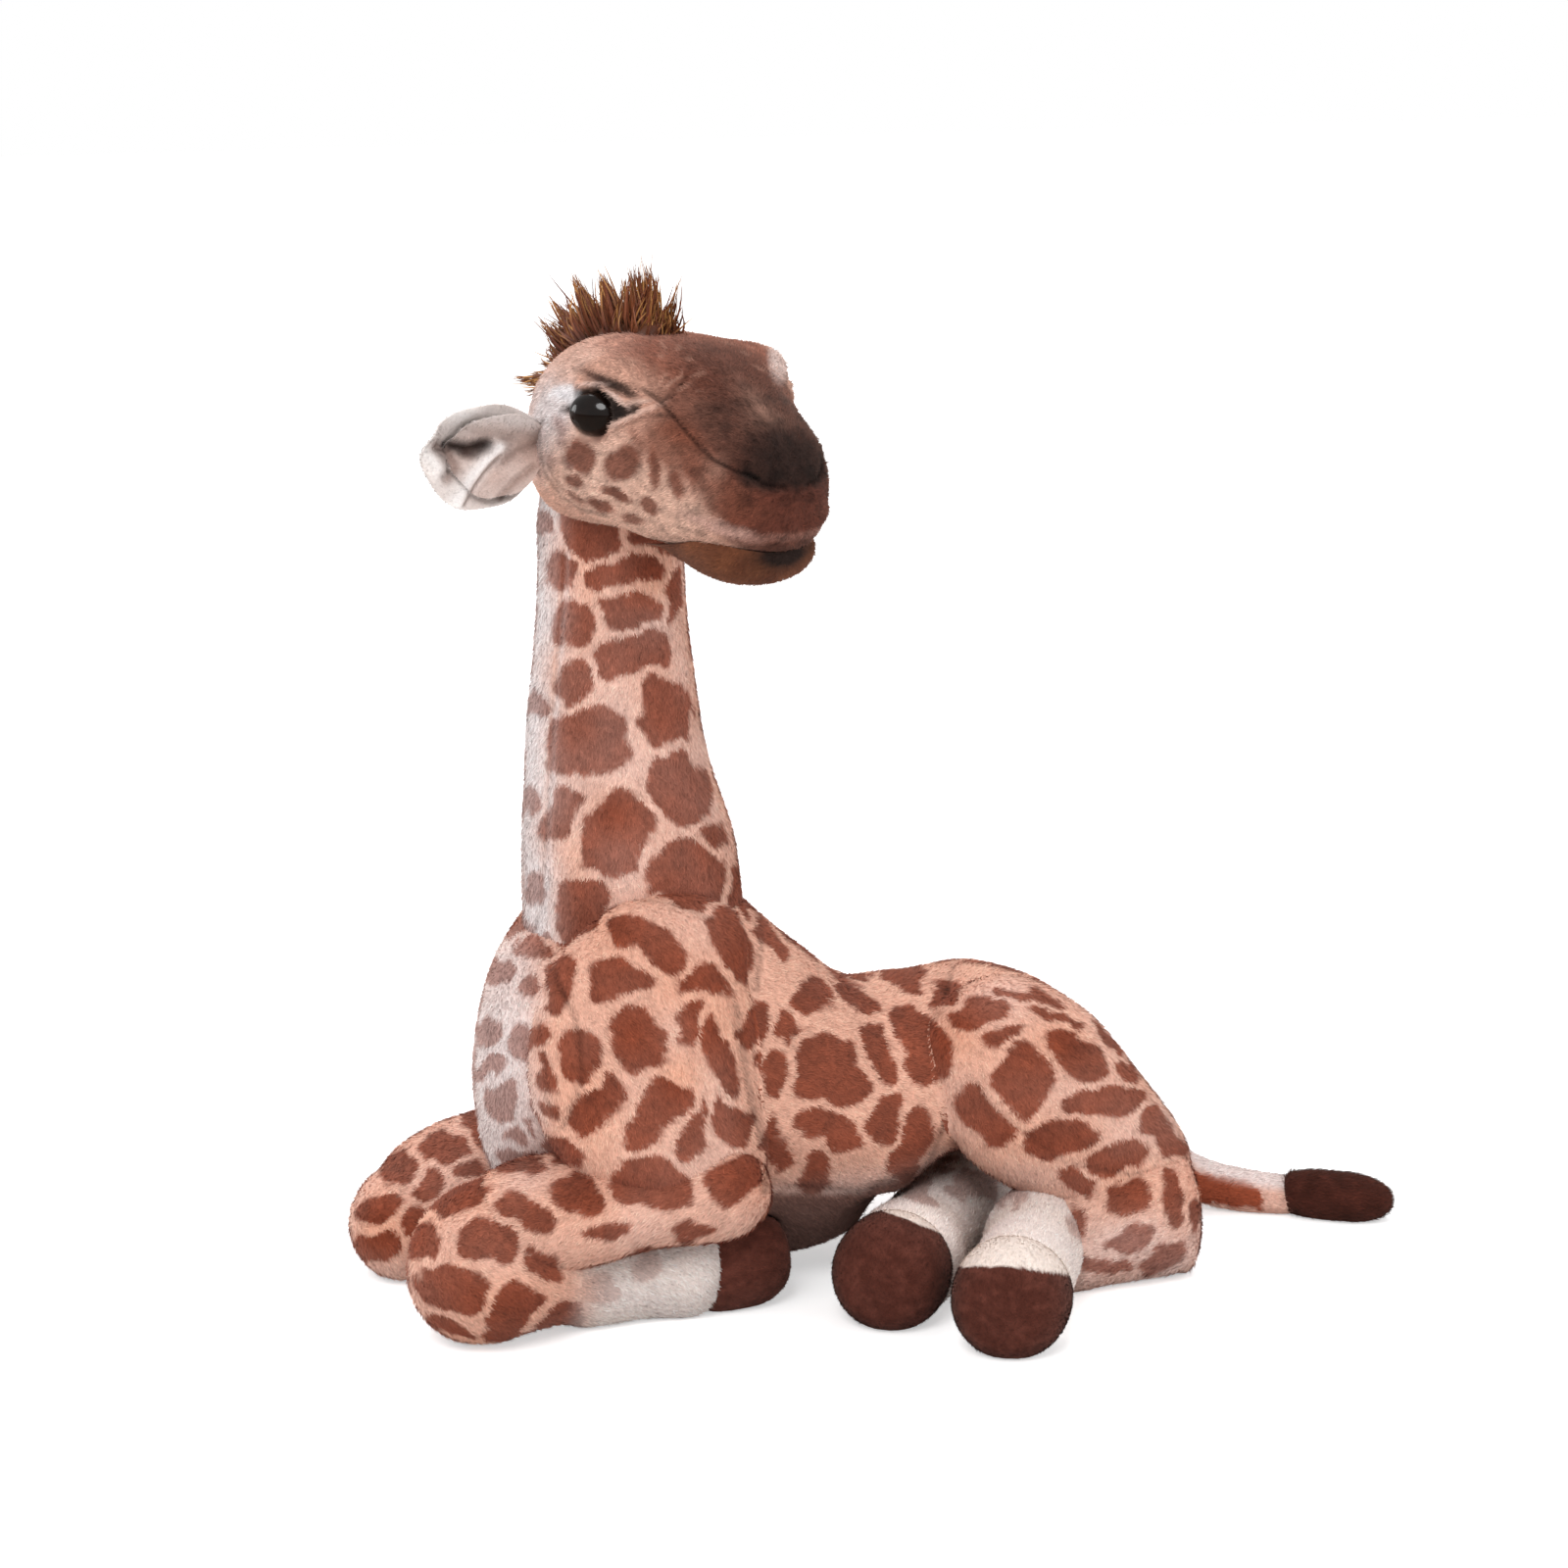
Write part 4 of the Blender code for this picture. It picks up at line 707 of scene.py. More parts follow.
# the two sides differ where the photograph does; knee and ankle are the places of the hinges
sides = {
    "left": {"sign": -1, "reach": 0.024, "knee": (-0.077, -0.037), "kneeRadius": 0.0285,
             "hip": (0.108, -0.040, 0.089), "hock": (0.168, -0.060, 0.028), "ankle": (0.124, -0.058),
             "foot": 0.056, "aim": 236.5},
    "right": {"sign": 1, "reach": 0.010, "knee": (-0.084, 0.037), "kneeRadius": 0.0215,
              "hip": (0.108, 0.036, 0.062), "hock": (0.172, 0.050, 0.026), "ankle": (0.138, 0.022),
              "foot": 0.112, "aim": 230.5},
}


def tubeBag(start, way, rows):
    # rows: distance, height of the middle, radius
    start, way = np.array(start, float), np.array([*way, 0.0])
    return loft([(*(start[:2] + way[:2] * d), z, r, r) for d, z, r in rows])


def hoofRows(seam, length, radius):
    return [(seam + p * length, radius, s * radius) for p, s in hoofShares]


bags = {"torso": torsoBag, "neck": neckBag}
for label, side in sides.items():
    sign = side["sign"]
    foot = np.array([-side["reach"], sign * shoulderSize["out"], shoulderSize["foot"]])
    bags["shoulder_" + label] = loft(
        [(*(foot + [b * shoulderSize["deep"], sign * o * shoulderSize["spread"], h * shoulderSize["high"]]),
          t * shoulderSize["spread"], w * shoulderSize["deep"]) for h, b, o, w, t in shoulderRows], upward=(1, 0, 0))
    elbow = np.array(forearmSize["elbow"]) * [1, sign, 1]
    wrist = np.array([*side["knee"], max(2 * side["kneeRadius"], forearmSize["lowWrist"]) - forearmSize["wrist"]])
    bags["forearm_" + label] = loft(
        [(*(elbow + (wrist - elbow) * p + [0, 0, l * forearmSize["high"]]), w * forearmSize["wide"],
          d * forearmSize["high"]) for p, w, d, l in forearmRows])
    hip, hock = np.array(side["hip"]), np.array(side["hock"])
    bags["thigh_" + label] = loft(
        [(*(hip + (hock - hip) * p + [0, sign * o * thighSize["thick"], 0]), t * thighSize["thick"],
          w * thighSize["deep"]) for p, o, w, t in thighRows],
        upward=unit(np.cross(unit(hock - hip), [0, sign, 0])))
    toAnkle = (np.array([*side["ankle"], ankleHeight]) - hock) * [1, 1, 0]
    bags["shin_" + label] = loft(
        [(*(hock + toAnkle * p)[:2], shinRadius * min(s, 1.0) - clearance, s * shinRadius, s * shinRadius)
         for p, s in shinRows])
    # the folded foreleg: the knee's ball runs into the cannon
    splay = math.radians(-2.0 * sign)
    kneeWay = (math.cos(splay), math.sin(splay))
    r = side["kneeRadius"]
    kz = r - clearance
    bags["front_cannon_" + label] = tubeBag(
        side["knee"], kneeWay,
        [(r * d, kz * z, r * s) for d, z, s in kneeRows]
        + [(r * 0.92, kz * 0.55 + 0.0075, r * 0.30 + 0.0118), (r * 1.25, 0.0166, 0.0168)] + cannonRows)
    bags["front_hoof_" + label] = tubeBag(side["knee"], kneeWay, hoofRows(**frontHoof))
    aim = math.radians(side["aim"])
    footWay = (math.cos(aim), math.sin(aim))
    length = side["foot"]
    bags["rear_foot_" + label] = tubeBag(
        side["ankle"], footWay,
        footRows + [(length * 0.7 + 0.005, 0.0174, 0.0178), (length, 0.0174, 0.0176),
                    (length + 0.004, 0.0174, 0.0130)])
    bags["rear_hoof_" + label] = tubeBag(side["ankle"], footWay, hoofRows(length, **rearHoof))


# where the ground is pale
def paleTorso(points, normals):
    low = smooth(0.056, 0.030, points[:, 2] + 0.006 * cloud(points, 0.02, 71))
    chest = smooth(-0.040, -0.066, points[:, 0] + 0.006 * cloud(points, 0.02, 72))
    return np.clip(0.80 * chest + 0.60 * low + 0.10, 0, 1)


def bellyShade(points, colour):
    # painted shade: under the side seam the belly's underside is painted dark brown, for the shadow beneath it
    px = inPicture(points)
    seam = np.interp(px[:, 0], [740, 783, 880, 945, 968], [1206, 1217, 1214, 1190, 1140])
    low = smooth(-5, 6, px[:, 1] - seam + 3 * cloud(points, 0.006, 79)) * smooth(0.050, 0.040, points[:, 2])
    return mix(colour, tones["belly"], 0.9 * low * smooth(-0.045, -0.020, points[:, 0]))


def paleNeck(points, normals):
    # pale throat: partly the throat's own paler fur, partly painted rim light on the side that faces the left
    throatAndRimLight = 0.85 * smooth(0.50, 1.10, -normals[:, 0] * 0.96 + normals[:, 1] * 0.12 + 0.14 * cloud(points, 0.02, 73))
    mottled = 0.22 + 0.20 * cloud(points, 0.016, 74)
    return np.clip(throatAndRimLight + mottled, 0, 1)


def paleLeg(points, normals):
    return np.clip(0.14 + 0.18 * cloud(points, 0.018, 75), 0, 1)


def paleShin(points, normals):
    low = smooth(0.040, 0.018, points[:, 2] + 0.004 * cloud(points, 0.012, 78))
    return np.clip(0.14 + 0.30 * low + 0.16 * cloud(points, 0.018, 75), 0, 1)


def paleShoulder(points, normals):
    front = smooth(-0.055, -0.070, points[:, 0] + 0.004 * cloud(points, 0.012, 76))
    return np.clip(0.7 * front + 0.12 + 0.15 * cloud(points, 0.016, 77), 0, 1)


def creamLeg(kind, seed):
    # cream tube of the lower leg: faint spots near its root, none towards the hoof
    def colour(points, normals):
        share = spotShare(coatSpots[kind], points, seed)
        ground = mix(tones["cream"], tones["pale"], 0.4 + 0.3 * cloud(points, 0.014, seed))
        return mix(ground, tones["patchPale"], share * 0.55)
    return colour


def kneeCoat(kind, name, rootX, seed):
    # brown spots over the knee, fading into the cream cannon behind it
    spots = spotted(kind, seedsFor(name, 12), seed, paleLeg)

    def colour(points, normals):
        faint = spotShare(coatSpots["cannon"], points, seed + 3) * 0.4
        cream = mix(tones["cream"], tones["pale"], 0.35 + 0.3 * cloud(points, 0.014, seed))
        return mix(spots(points, normals), mix(cream, tones["patchPale"], faint),
                   smooth(rootX + 0.020, rootX + 0.040, points[:, 0]))
    return colour


# how far the cream cloth reaches forward over a hind hoof's top: from one height to another
creamEdge = {"from": 0.022, "to": 0.036, "reach": 0.026, "soft": 0.0006}


def hoofCoat(deep, seed, foot=None, lean=0.0):
    # very short dark nap, under the cream edge on a hind foot
    def colour(points, normals):
        band = 0.5 + 0.4 * cloud(points * [1, 1, 1.6], 0.004, seed) + 0.3 * cloud(points, 0.0016, seed + 1)
        found = mix(tones["hoof"], tones["hoofDeep"], np.clip(band + deep, 0, 1))
        if foot:
            start, way, length = foot
            offset = points - start + 0.0005 * cloud(points, 0.003, seed + 2)[:, None]
            height = points[:, 2] + lean * (offset @ shotAxes[0])
            reach = length + creamEdge["reach"] * smooth(creamEdge["from"], creamEdge["to"], height)
            covered = smooth(creamEdge["soft"], -creamEdge["soft"], offset @ way - reach) * (height > 0.0222)
            found = mix(found, tones["cream"], covered)
        return found
    return colour


def seedsFor(name, seed, spacing=0.0205):
    grid = bagSurface(bags[name], 0.004)
    normals = outwardNormals(grid, grid.mean((0, 1))).reshape(-1, 3)
    points = grid.reshape(-1, 3)
    return scatter(points, (normals * toCamera(points)).sum(1), seed, spacing)


# torso
legBags = [bags[part + side] for side in ("_left", "_right")
           for part in ("front_cannon", "front_hoof", "rear_foot", "rear_hoof")]
# sewn seams in the picture: points, and how deep and wide each is
torsoSeams = seams([
    ([(783, 1210), (880, 1216), (945, 1190), (968, 1140)], 1.0),
    ([(770, 905), (778, 960), (772, 1010)], 0.8),
    ([(966, 1010), (968, 1075), (975, 1130), (985, 1180)], 1.4),
    ([(975, 975), (966, 1010)], 0.8),
    ([(752, 1026), (760, 1080), (767, 1126), (778, 1166), (768, 1206)], 1.2),
])


def dentTorso(points):
    # the legs press in; the far hind foot also where it swings to its limit of 4 degrees
    inward = unit(np.stack([np.zeros(len(points)), -np.sign(points[:, 1]), np.full(len(points), 0.45)], 1))
    points = pressIn(points, legBags, inward)
    return roomToSwing(points, ("rear_foot_right", "rear_hoof_right"), sides["right"]["ankle"], -5.5, inward)


stuffedPiece("torso_bag", torsoBag, 0.0020, spotted("near", seedsFor("torso", 5), 11, paleTorso, bellyShade),
             {"lay": (0.85, 0.0, -0.55), "others": [bags[part] for part in bags if part != "torso"]},
             "body", "torso", 0.0009, 11, torsoSeams, dentTorso)
print("torso done")

# neck
neckSeams = seams([([(577, 560), (572, 640), (566, 700), (560, 800), (556, 900), (545, 960)], 0.5)])
neckPiece = stuffedPiece("neck_bag", neckBag, 0.0019, spotted("near", seedsFor("neck", 6), 23, paleNeck),
                         {"lay": (0, 0, -1), "others": [torsoBag]},
                         None, "neck", 0.0006, 23, neckSeams)
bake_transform(neckPiece)
print("neck done")

# legs
legSeams = {
    "shoulder": seams([
        ([(560, 985), (588, 1040), (596, 1100), (575, 1150)], 0.8),
        ([(548, 1040), (556, 1090), (560, 1130)], 0.6),
        ([(600, 915), (640, 916), (690, 922), (730, 940)], 0.6),
        ([(752, 1026), (760, 1080), (767, 1126), (778, 1166)], 1.0)]),
    "thigh": seams([([(988, 1100), (1026, 1140), (1060, 1168), (1090, 1186), (1150, 1198), (1200, 1195)], 0.6)]),
    "forearm": seams([([(770, 1130), (785, 1165), (782, 1215)], 1.0)]),
}
hoofNap = {"length": 0.0017, "width": 0.00045, "density": 2.2, "lift": 12, "mess": 0.15}
# node, piece, body, slot, grid spacing, lumps, seed, neighbours that its nap keeps out of
legRows = [
    ("shoulder", "shoulder_pad", "body", "patched_plush", 0.0019, 0.0007, 31, ("neck", "forearm", "front_cannon")),
    ("forearm", "forearm_bag", "body", "patched_plush", 0.0018, 0.0006, 37, ("front_cannon",)),
    ("thigh", "thigh_bag", "body", "patched_plush", 0.0019, 0.0008, 41, ("torso", "shin", "rear_foot")),
    ("shin", "shin_bag", "body", "patched_plush", 0.0018, 0.0006, 43, ("torso", "thigh", "rear_foot")),
    ("front_cannon", "cannon_bag", "foreleg", "patched_plush", 0.0016, 0.0004, 47, ("torso", "forearm", "front_hoof")),
    ("front_hoof", "front_hoof_bag", "foreleg", "dark_brown_plush", 0.0014, 0.0003, 51, ("torso", "front_cannon")),
    ("rear_foot", "foot_bag", "hind_foot", "cream_plush", 0.0016, 0.0004, 53, ("torso", "shin", "rear_hoof", "thigh")),
    ("rear_hoof", "rear_hoof_bag", "hind_foot", "dark_brown_plush", 0.0012, 0.0003, 57, ("rear_foot",)),
]


def legNaps(side, aim):
    outward = (0, side["sign"], 0)
    return {
        "shoulder": {"lay": (0.30, 0, -1), "outward": outward},
        "forearm": {"lay": (-1, 0, -0.25), "outward": outward},
        "thigh": {"lay": (0.45, 0, -1)},
        "shin": {"lay": (-1, 0, -0.2)},
        "front_cannon": {"lay": (0.8, 0, -0.5)},
        "front_hoof": {"lay": (1, 0, -0.1), **hoofNap},
        "rear_foot": {"lay": (-aim[0], -aim[1], 0.15), "root": 0.95, "tip": 1.06, "lift": 9},
        "rear_hoof": {"lay": (aim[0], aim[1], -0.15), **hoofNap},
    }


def legCoats(label, side, aim):
    near = label == "left"
    kind = "near" if near else "far"
    seeds = lambda part, seed: seedsFor(part + "_" + label, seed)
    return {
        "shoulder": spotted("near", seeds("shoulder", 7), 31, paleShoulder),
        "forearm": spotted(kind, seeds("forearm", 8), 37, paleLeg),
        "thigh": spotted("near", seeds("thigh", 9), 41, paleLeg),
        "shin": spotted("near", seeds("shin", 10), 43, paleShin),
        "front_cannon": kneeCoat(kind, "front_cannon_" + label, side["knee"][0], 47 if near else 48),
        "front_hoof": hoofCoat(0.1, 51),
        "rear_foot": creamLeg("rearFoot" if near else "farFoot", 53),
        "rear_hoof": hoofCoat(0.35, 57, ((*side["ankle"], 0.0), aim, side["foot"]), 0.0 if near else 0.30),
    }


def pressTorso(points):
    return pressOut(points, torsoBag)


def pressForearm(points):
    # the near front hoof swings in under the forearm, by 12 degrees at its limit
    return roomToSwing(pressTorso(points), ["front_hoof_left"], sides["left"]["knee"], -13,
                       unit(np.array([0, -0.5, 1.0])))


for label, side in sides.items():
    aim = math.radians(side["aim"])
    aim = (math.cos(aim), math.sin(aim), 0.0)
    naps, coats = legNaps(side, aim), legCoats(label, side, aim)
    for node, name, body, slot, spacing, lumps, seed, beside in legRows:
        others = [bags[part] if part in bags else bags[part + "_" + label] for part in beside]
        press = pressTorso if body == "body" else None
        if label == "left" and node == "forearm":
            press = pressForearm
        stuffedPiece(name + "_" + label, bags[node + "_" + label], spacing, coats[node],
                     {**naps[node], "others": others}, body if body == "body" else body + "_" + label,
                     node + "_" + label, lumps, seed, legSeams.get(node) if label == "left" else None, press)
print("legs done")

# tail, sizes in metres
tailLook = {"root": (0.168, 0.0, 0.058), "length": 0.112, "bend": 0.044, "radius": 0.0075, "tuft": 0.036,
            "tuftRadius": 0.0088, "tuftHeight": 0.0082}
tailFall = tailLook["root"][2] - tailLook["radius"] * 0.94
# along, bend sideways, fall, radius
tailRows = [(-0.08, 0, 0, 1.15), (0.0, 0.0, 0.0, 1.42), (0.12, -0.03, 0.12, 1.32), (0.40, -0.02, 0.86, 1.12),
            (0.72, 0.46, 1.00, 0.94), (0.745, 0.495, 1.00, 0.90)]
tailPath = [(tailLook["root"][0] + p * tailLook["length"], -b * tailLook["bend"], tailLook["root"][2] - f * tailFall,
             r * tailLook["radius"], r * tailLook["radius"]) for p, b, f, r in tailRows]
bags["tail"] = loft(tailPath, straight=False)
tipWay = unit(np.array([0.14, -0.30 * tailLook["bend"] / tailLook["length"], 0.0]))
tuftRows = [(p * tailLook["tuft"], tailLook["tuftHeight"], s * tailLook["tuftRadius"]) for p, s in (
    (-0.05, 0.80), (0.10, 1.0), (0.45, 1.12), (0.85, 0.92), (1.0, 0.62), (1.06, 0.30))]
bags["tail_tuft"] = tubeBag(tailPath[-2][:3], tipWay[:2], tuftRows)


def tailCoat(points, normals):
    share = spotShare(coatSpots["tail"], points, 61)
    top = smooth(0.3, 0.8, normals[:, 2])
    ground = mix(tones["peach"], tones["pale"], 0.25 + 0.6 * top)
    return mix(ground, tones["patch"], share * (1 - 0.7 * top))


def tailLay(points, normals):
    return np.stack([np.ones(len(points)), -smooth(0.20, 0.26, points[:, 0]), -smooth(0.22, 0.18, points[:, 0])], 1)


def tuftCoat(points, normals):
    return mix(tones["tailTip"], tones["hoofDeep"], 0.5 + 0.5 * cloud(points, 0.004, 62))


stuffedPiece("tail_bag", bags["tail"], 0.0012, tailCoat, {"lay": tailLay, "length": 0.0024, "others": [torsoBag]},
             "tail", "tail", 0.0003, 61)
stuffedPiece("tail_tuft_bag", bags["tail_tuft"], 0.0012, tuftCoat,
             {"lay": (*tipWay[:2], 0), "length": 0.0032, "lift": 14},
             "tail", "tail_tuft", 0.0003, 62)
print("tail done")

# head, turned to the giraffe's left on the neck; its own axes are forward, left and up
headTurn = math.radians(-74.0)
headPivot = np.array([-0.017, 0.0, 0.284])
headAxes = np.array([[math.cos(headTurn), math.sin(headTurn), 0], [-math.sin(headTurn), math.cos(headTurn), 0],
                     [0, 0, 1]])
headSize = {"long": 0.132, "back": 0.028, "high": 0.076}


def toHead(points):
    return (points - headPivot) @ headAxes.T


def fromHead(local):
    return local @ headAxes + headPivot


def headPoint(along, aside, up):
    # a place by its shares of the head's length and height
    return fromHead(np.array([along * headSize["long"] - headSize["back"], aside * headSize["high"],
                              up * headSize["high"]]))


# along, middle's height, half width, half height
headRows = [
    (0.025, 0.37, 0.10, 0.13), (0.065, 0.355, 0.26, 0.315), (0.200, 0.365, 0.405, 0.430), (0.450, 0.38, 0.52, 0.455),
    (0.620, 0.35, 0.48, 0.450), (0.780, 0.27, 0.35, 0.365), (0.940, 0.175, 0.255, 0.245), (1.000, 0.13, 0.125, 0.120)]
bags["head"] = loft([(*headPoint(p, 0, m), w * headSize["high"], h * headSize["high"]) for p, m, w, h in headRows],
                    fullness=2.5)

# raised and sunken places of the head, on both sides alike: place and reach in millimetres, height
headForms = [
    ((49, 28, 52), (13, 9, 8), 4.6),       # brow over the eye
    ((38, 36, 41), (11, 8, 8), -1.2),      # eye socket
    ((6, 36, 16), (20, 12, 16), 1.2),      # cheek
    ((90, 16, 26), (10, 7, 12), 0.5),      # side of the nose
    ((70, 20, 46), (10, 12, 8), -1.0),     # hollow in front of the brow
    ((66, 34, 22), (18, 8, 10), -0.9),     # hollow under the nose seam
    ((84, 24, 8), (16, 8, 7), 1.0),        # upper lip
    ((36, 24, -4), (24, 18, 9), -3.2),     # jaw behind the mouth's corner
]
# lines of the head in the picture, near side: points, height and half width in millimetres, and the painted shade
# along each line; a negative shade is a painted highlight along a ridge
headLines = [
    ([(601, 384), (618, 391), (638, 397), (646, 402)], -1.3, 2.2, 0.45),                  # hollow over the lid
    ([(592, 394), (602, 390), (614, 394), (628, 407), (642, 411), (657, 408)], 1.5, 1.1, -0.12),      # upper lid
    ([(590, 377), (607, 373), (624, 376), (640, 386), (654, 397)], 1.2, 1.6, -0.05),      # brow
    # seam from the brow to the nostril
    ([(653, 396), (672, 408), (688, 426), (704, 446), (727, 469), (751, 481), (774, 488)], -1.1, 0.8, 0.55),
    ([(611, 443), (637, 427), (664, 415), (680, 411)], 0.9, 1.3, -0.12),                  # fold under the eye
    ([(608, 449), (634, 435), (662, 424), (684, 424)], -0.6, 0.9, 0.25),
    ([(675, 410), (685, 403), (694, 393), (699, 385)], -0.8, 0.8, 0.45),                  # folds of the bridge
    ([(664, 396), (662, 384), (655, 370)], -0.5, 0.7, 0.30),
    ([(648, 388), (640, 374), (632, 362)], -0.5, 0.7, 0.28),
    ([(634, 378), (628, 366), (618, 356)], -0.4, 0.7, 0.20),
    ([(549, 436), (550, 458), (557, 484), (573, 506), (592, 519), (618, 526)], -0.9, 0.8, 0.40),
    ([(552, 466), (563, 493), (582, 512), (606, 520), (632, 524)], 0.7, 1.0, -0.05),      # folds of the cheek
    ([(560, 474), (570, 496), (588, 509), (612, 515)], -0.6, 0.8, 0.28),
    ([(556, 396), (552, 412), (552, 430)], -0.6, 0.9, 0.22),
    ([(700, 508), (722, 524), (748, 533), (772, 537), (800, 545)], 0.9, 1.7, -0.08),      # lip's edge
    ([(762, 482), (778, 494), (800, 497)], -1.3, 1.3, 0.45),                              # nostril
]


def headFeatures(points, normals):
    # sum of rounded bumps h exp(-|d/r|^2), then the ridges and grooves along the lines, with painted shade in the
    # grooves and painted highlights on the ridges
    local = toHead(points) * 1000
    local[:, 1] = np.abs(local[:, 1])
    move, shade = np.zeros(len(points)), np.ones(len(points))
    for place, reach, height in headForms:
        d = (local - place) / reach
        move += 0.001 * height * np.exp(-(d * d).sum(1))
    near = local * [0.001, -0.001, 0.001]
    turned = normals @ headAxes.T
    turned[:, 1] = -np.abs(turned[:, 1])
    folded = fromHead(near)
    facing = smooth(0.02, 0.28, (turned @ headAxes * toCamera(folded)).sum(1))
    facing = facing * smooth(-0.002, 0.003, np.abs(near[:, 1]))
    for line, height, width, dark in headLines:
        close = seamLine(folded, line, width) * facing
        move += 0.001 * height * close
        shade *= 1 - dark * close
    return move, shade


# the head's colouring with its painted shade and highlights, laid on in turn: x, y, half length, half width, turn,
# colour, strength, edge
headDabs = [
    # the pale dab at 559, 430 on the back of the head, like the one at 576, 402 beside the eye, is paler fur and
    # painted rim light from the left
    (559, 430, 50, 22, 80, "#E6DCDC", 0.9, 12), (588, 366, 34, 14, 40, "#D9B3A3", 0.7, 8),
    (640, 352, 40, 14, -4, "#B98573", 0.6, 9), (700, 362, 66, 34, -12, "#7C4534", 0.9, 16),
    (735, 378, 50, 28, -38, "#57342A", 0.8, 14), (718, 425, 54, 40, -35, "#643527", 0.85, 15),
    (690, 462, 42, 32, -40, "#7E4633", 0.75, 14),
    (791, 505, 61, 73, 10, "#5A3024", 0.95, 16), (766, 446, 60, 36, -45, "#4A2C23", 0.8, 18),
    (792, 474, 34, 34, 0, "#2C1B16", 0.9, 18), (806, 470, 24, 38, 15, "#261713", 0.6, 12),
    (786, 526, 51, 26, 10, "#5F3125", 0.85, 10), (735, 508, 44, 18, -25, "#7A4635", 0.7, 10),
    (642, 506, 86, 40, -25, "#D9B09C", 0.8, 12), (600, 470, 50, 40, 0, "#DDB6A4", 0.55, 14),
    (735, 538, 40, 7, -18, "#C49A8C", 0.8, 4), (790, 549, 30, 4, 4, "#A57567", 0.6, 3),
    (593, 467, 20, 15, -57, "#753F2E", 0.9, 3.5), (637, 473, 22, 16, 50, "#753F2E", 0.9, 3.5),
    (612, 446, 9, 5, 30, "#8F5B4A", 0.6, 3), (650, 448, 14, 4, -60, "#8F5B4A", 0.5, 3),
    (667, 480, 20, 6, -86, "#753F2E", 0.85, 2.5), (690, 494, 15, 7, -70, "#753F2E", 0.85, 2.5),
    (586, 491, 11, 6, -35, "#753F2E", 0.85, 2), (630, 504, 16, 6, -20, "#753F2E", 0.9, 2),
    (614, 516, 16, 6, -22, "#753F2E", 0.9, 2), (665, 517, 9, 7, -34, "#753F2E", 0.85, 2),
    (646, 530, 12, 5, -15, "#753F2E", 0.8, 2), (588, 508, 12, 4, -38, "#8A5746", 0.7, 2),
    (706, 479, 10, 16, 20, "#6E3A2A", 0.5, 4),
    (571, 434, 6, 10, 20, "#8F6A62", 0.6, 3), (573, 450, 5, 7, 0, "#8F6A62", 0.5, 3),
    (562, 470, 5, 9, 30, "#8F6A62", 0.45, 3), (577, 470, 5, 9, 60, "#8F6A62", 0.5, 3),
    # painted shade: the near-black dabs at 608, 418, at 636, 418 and at 580, 416 darken the socket round the eye and
    # its corners, and those at 626, 393 and 606, 384 the crease over the lid
    (608, 418, 29, 23, -15, "#17100D", 0.97, 3), (636, 418, 17, 10, 8, "#1D1310", 0.95, 3),
    (580, 416, 8, 4, 30, "#1D1310", 0.8, 2.5), (626, 393, 25, 5, -24, "#33201A", 0.9, 2.5),
    (606, 384, 12, 3, -30, "#6B4236", 0.7, 2), (576, 402, 12, 9, 0, "#EDE8EA", 0.9, 5),
    # painted highlight: the thin pale dabs along the upper lid and along the fold under the eye
    (603, 392, 16, 2.2, 0, "#DDBBAE", 0.9, 1.4), (628, 405, 16, 2.4, -38, "#DDBBAE", 0.9, 1.4),
    (650, 410, 14, 2.6, 6, "#D9B3A3", 0.9, 1.6), (640, 427, 32, 2.8, 24, "#D9B3A3", 0.85, 1.8),
]


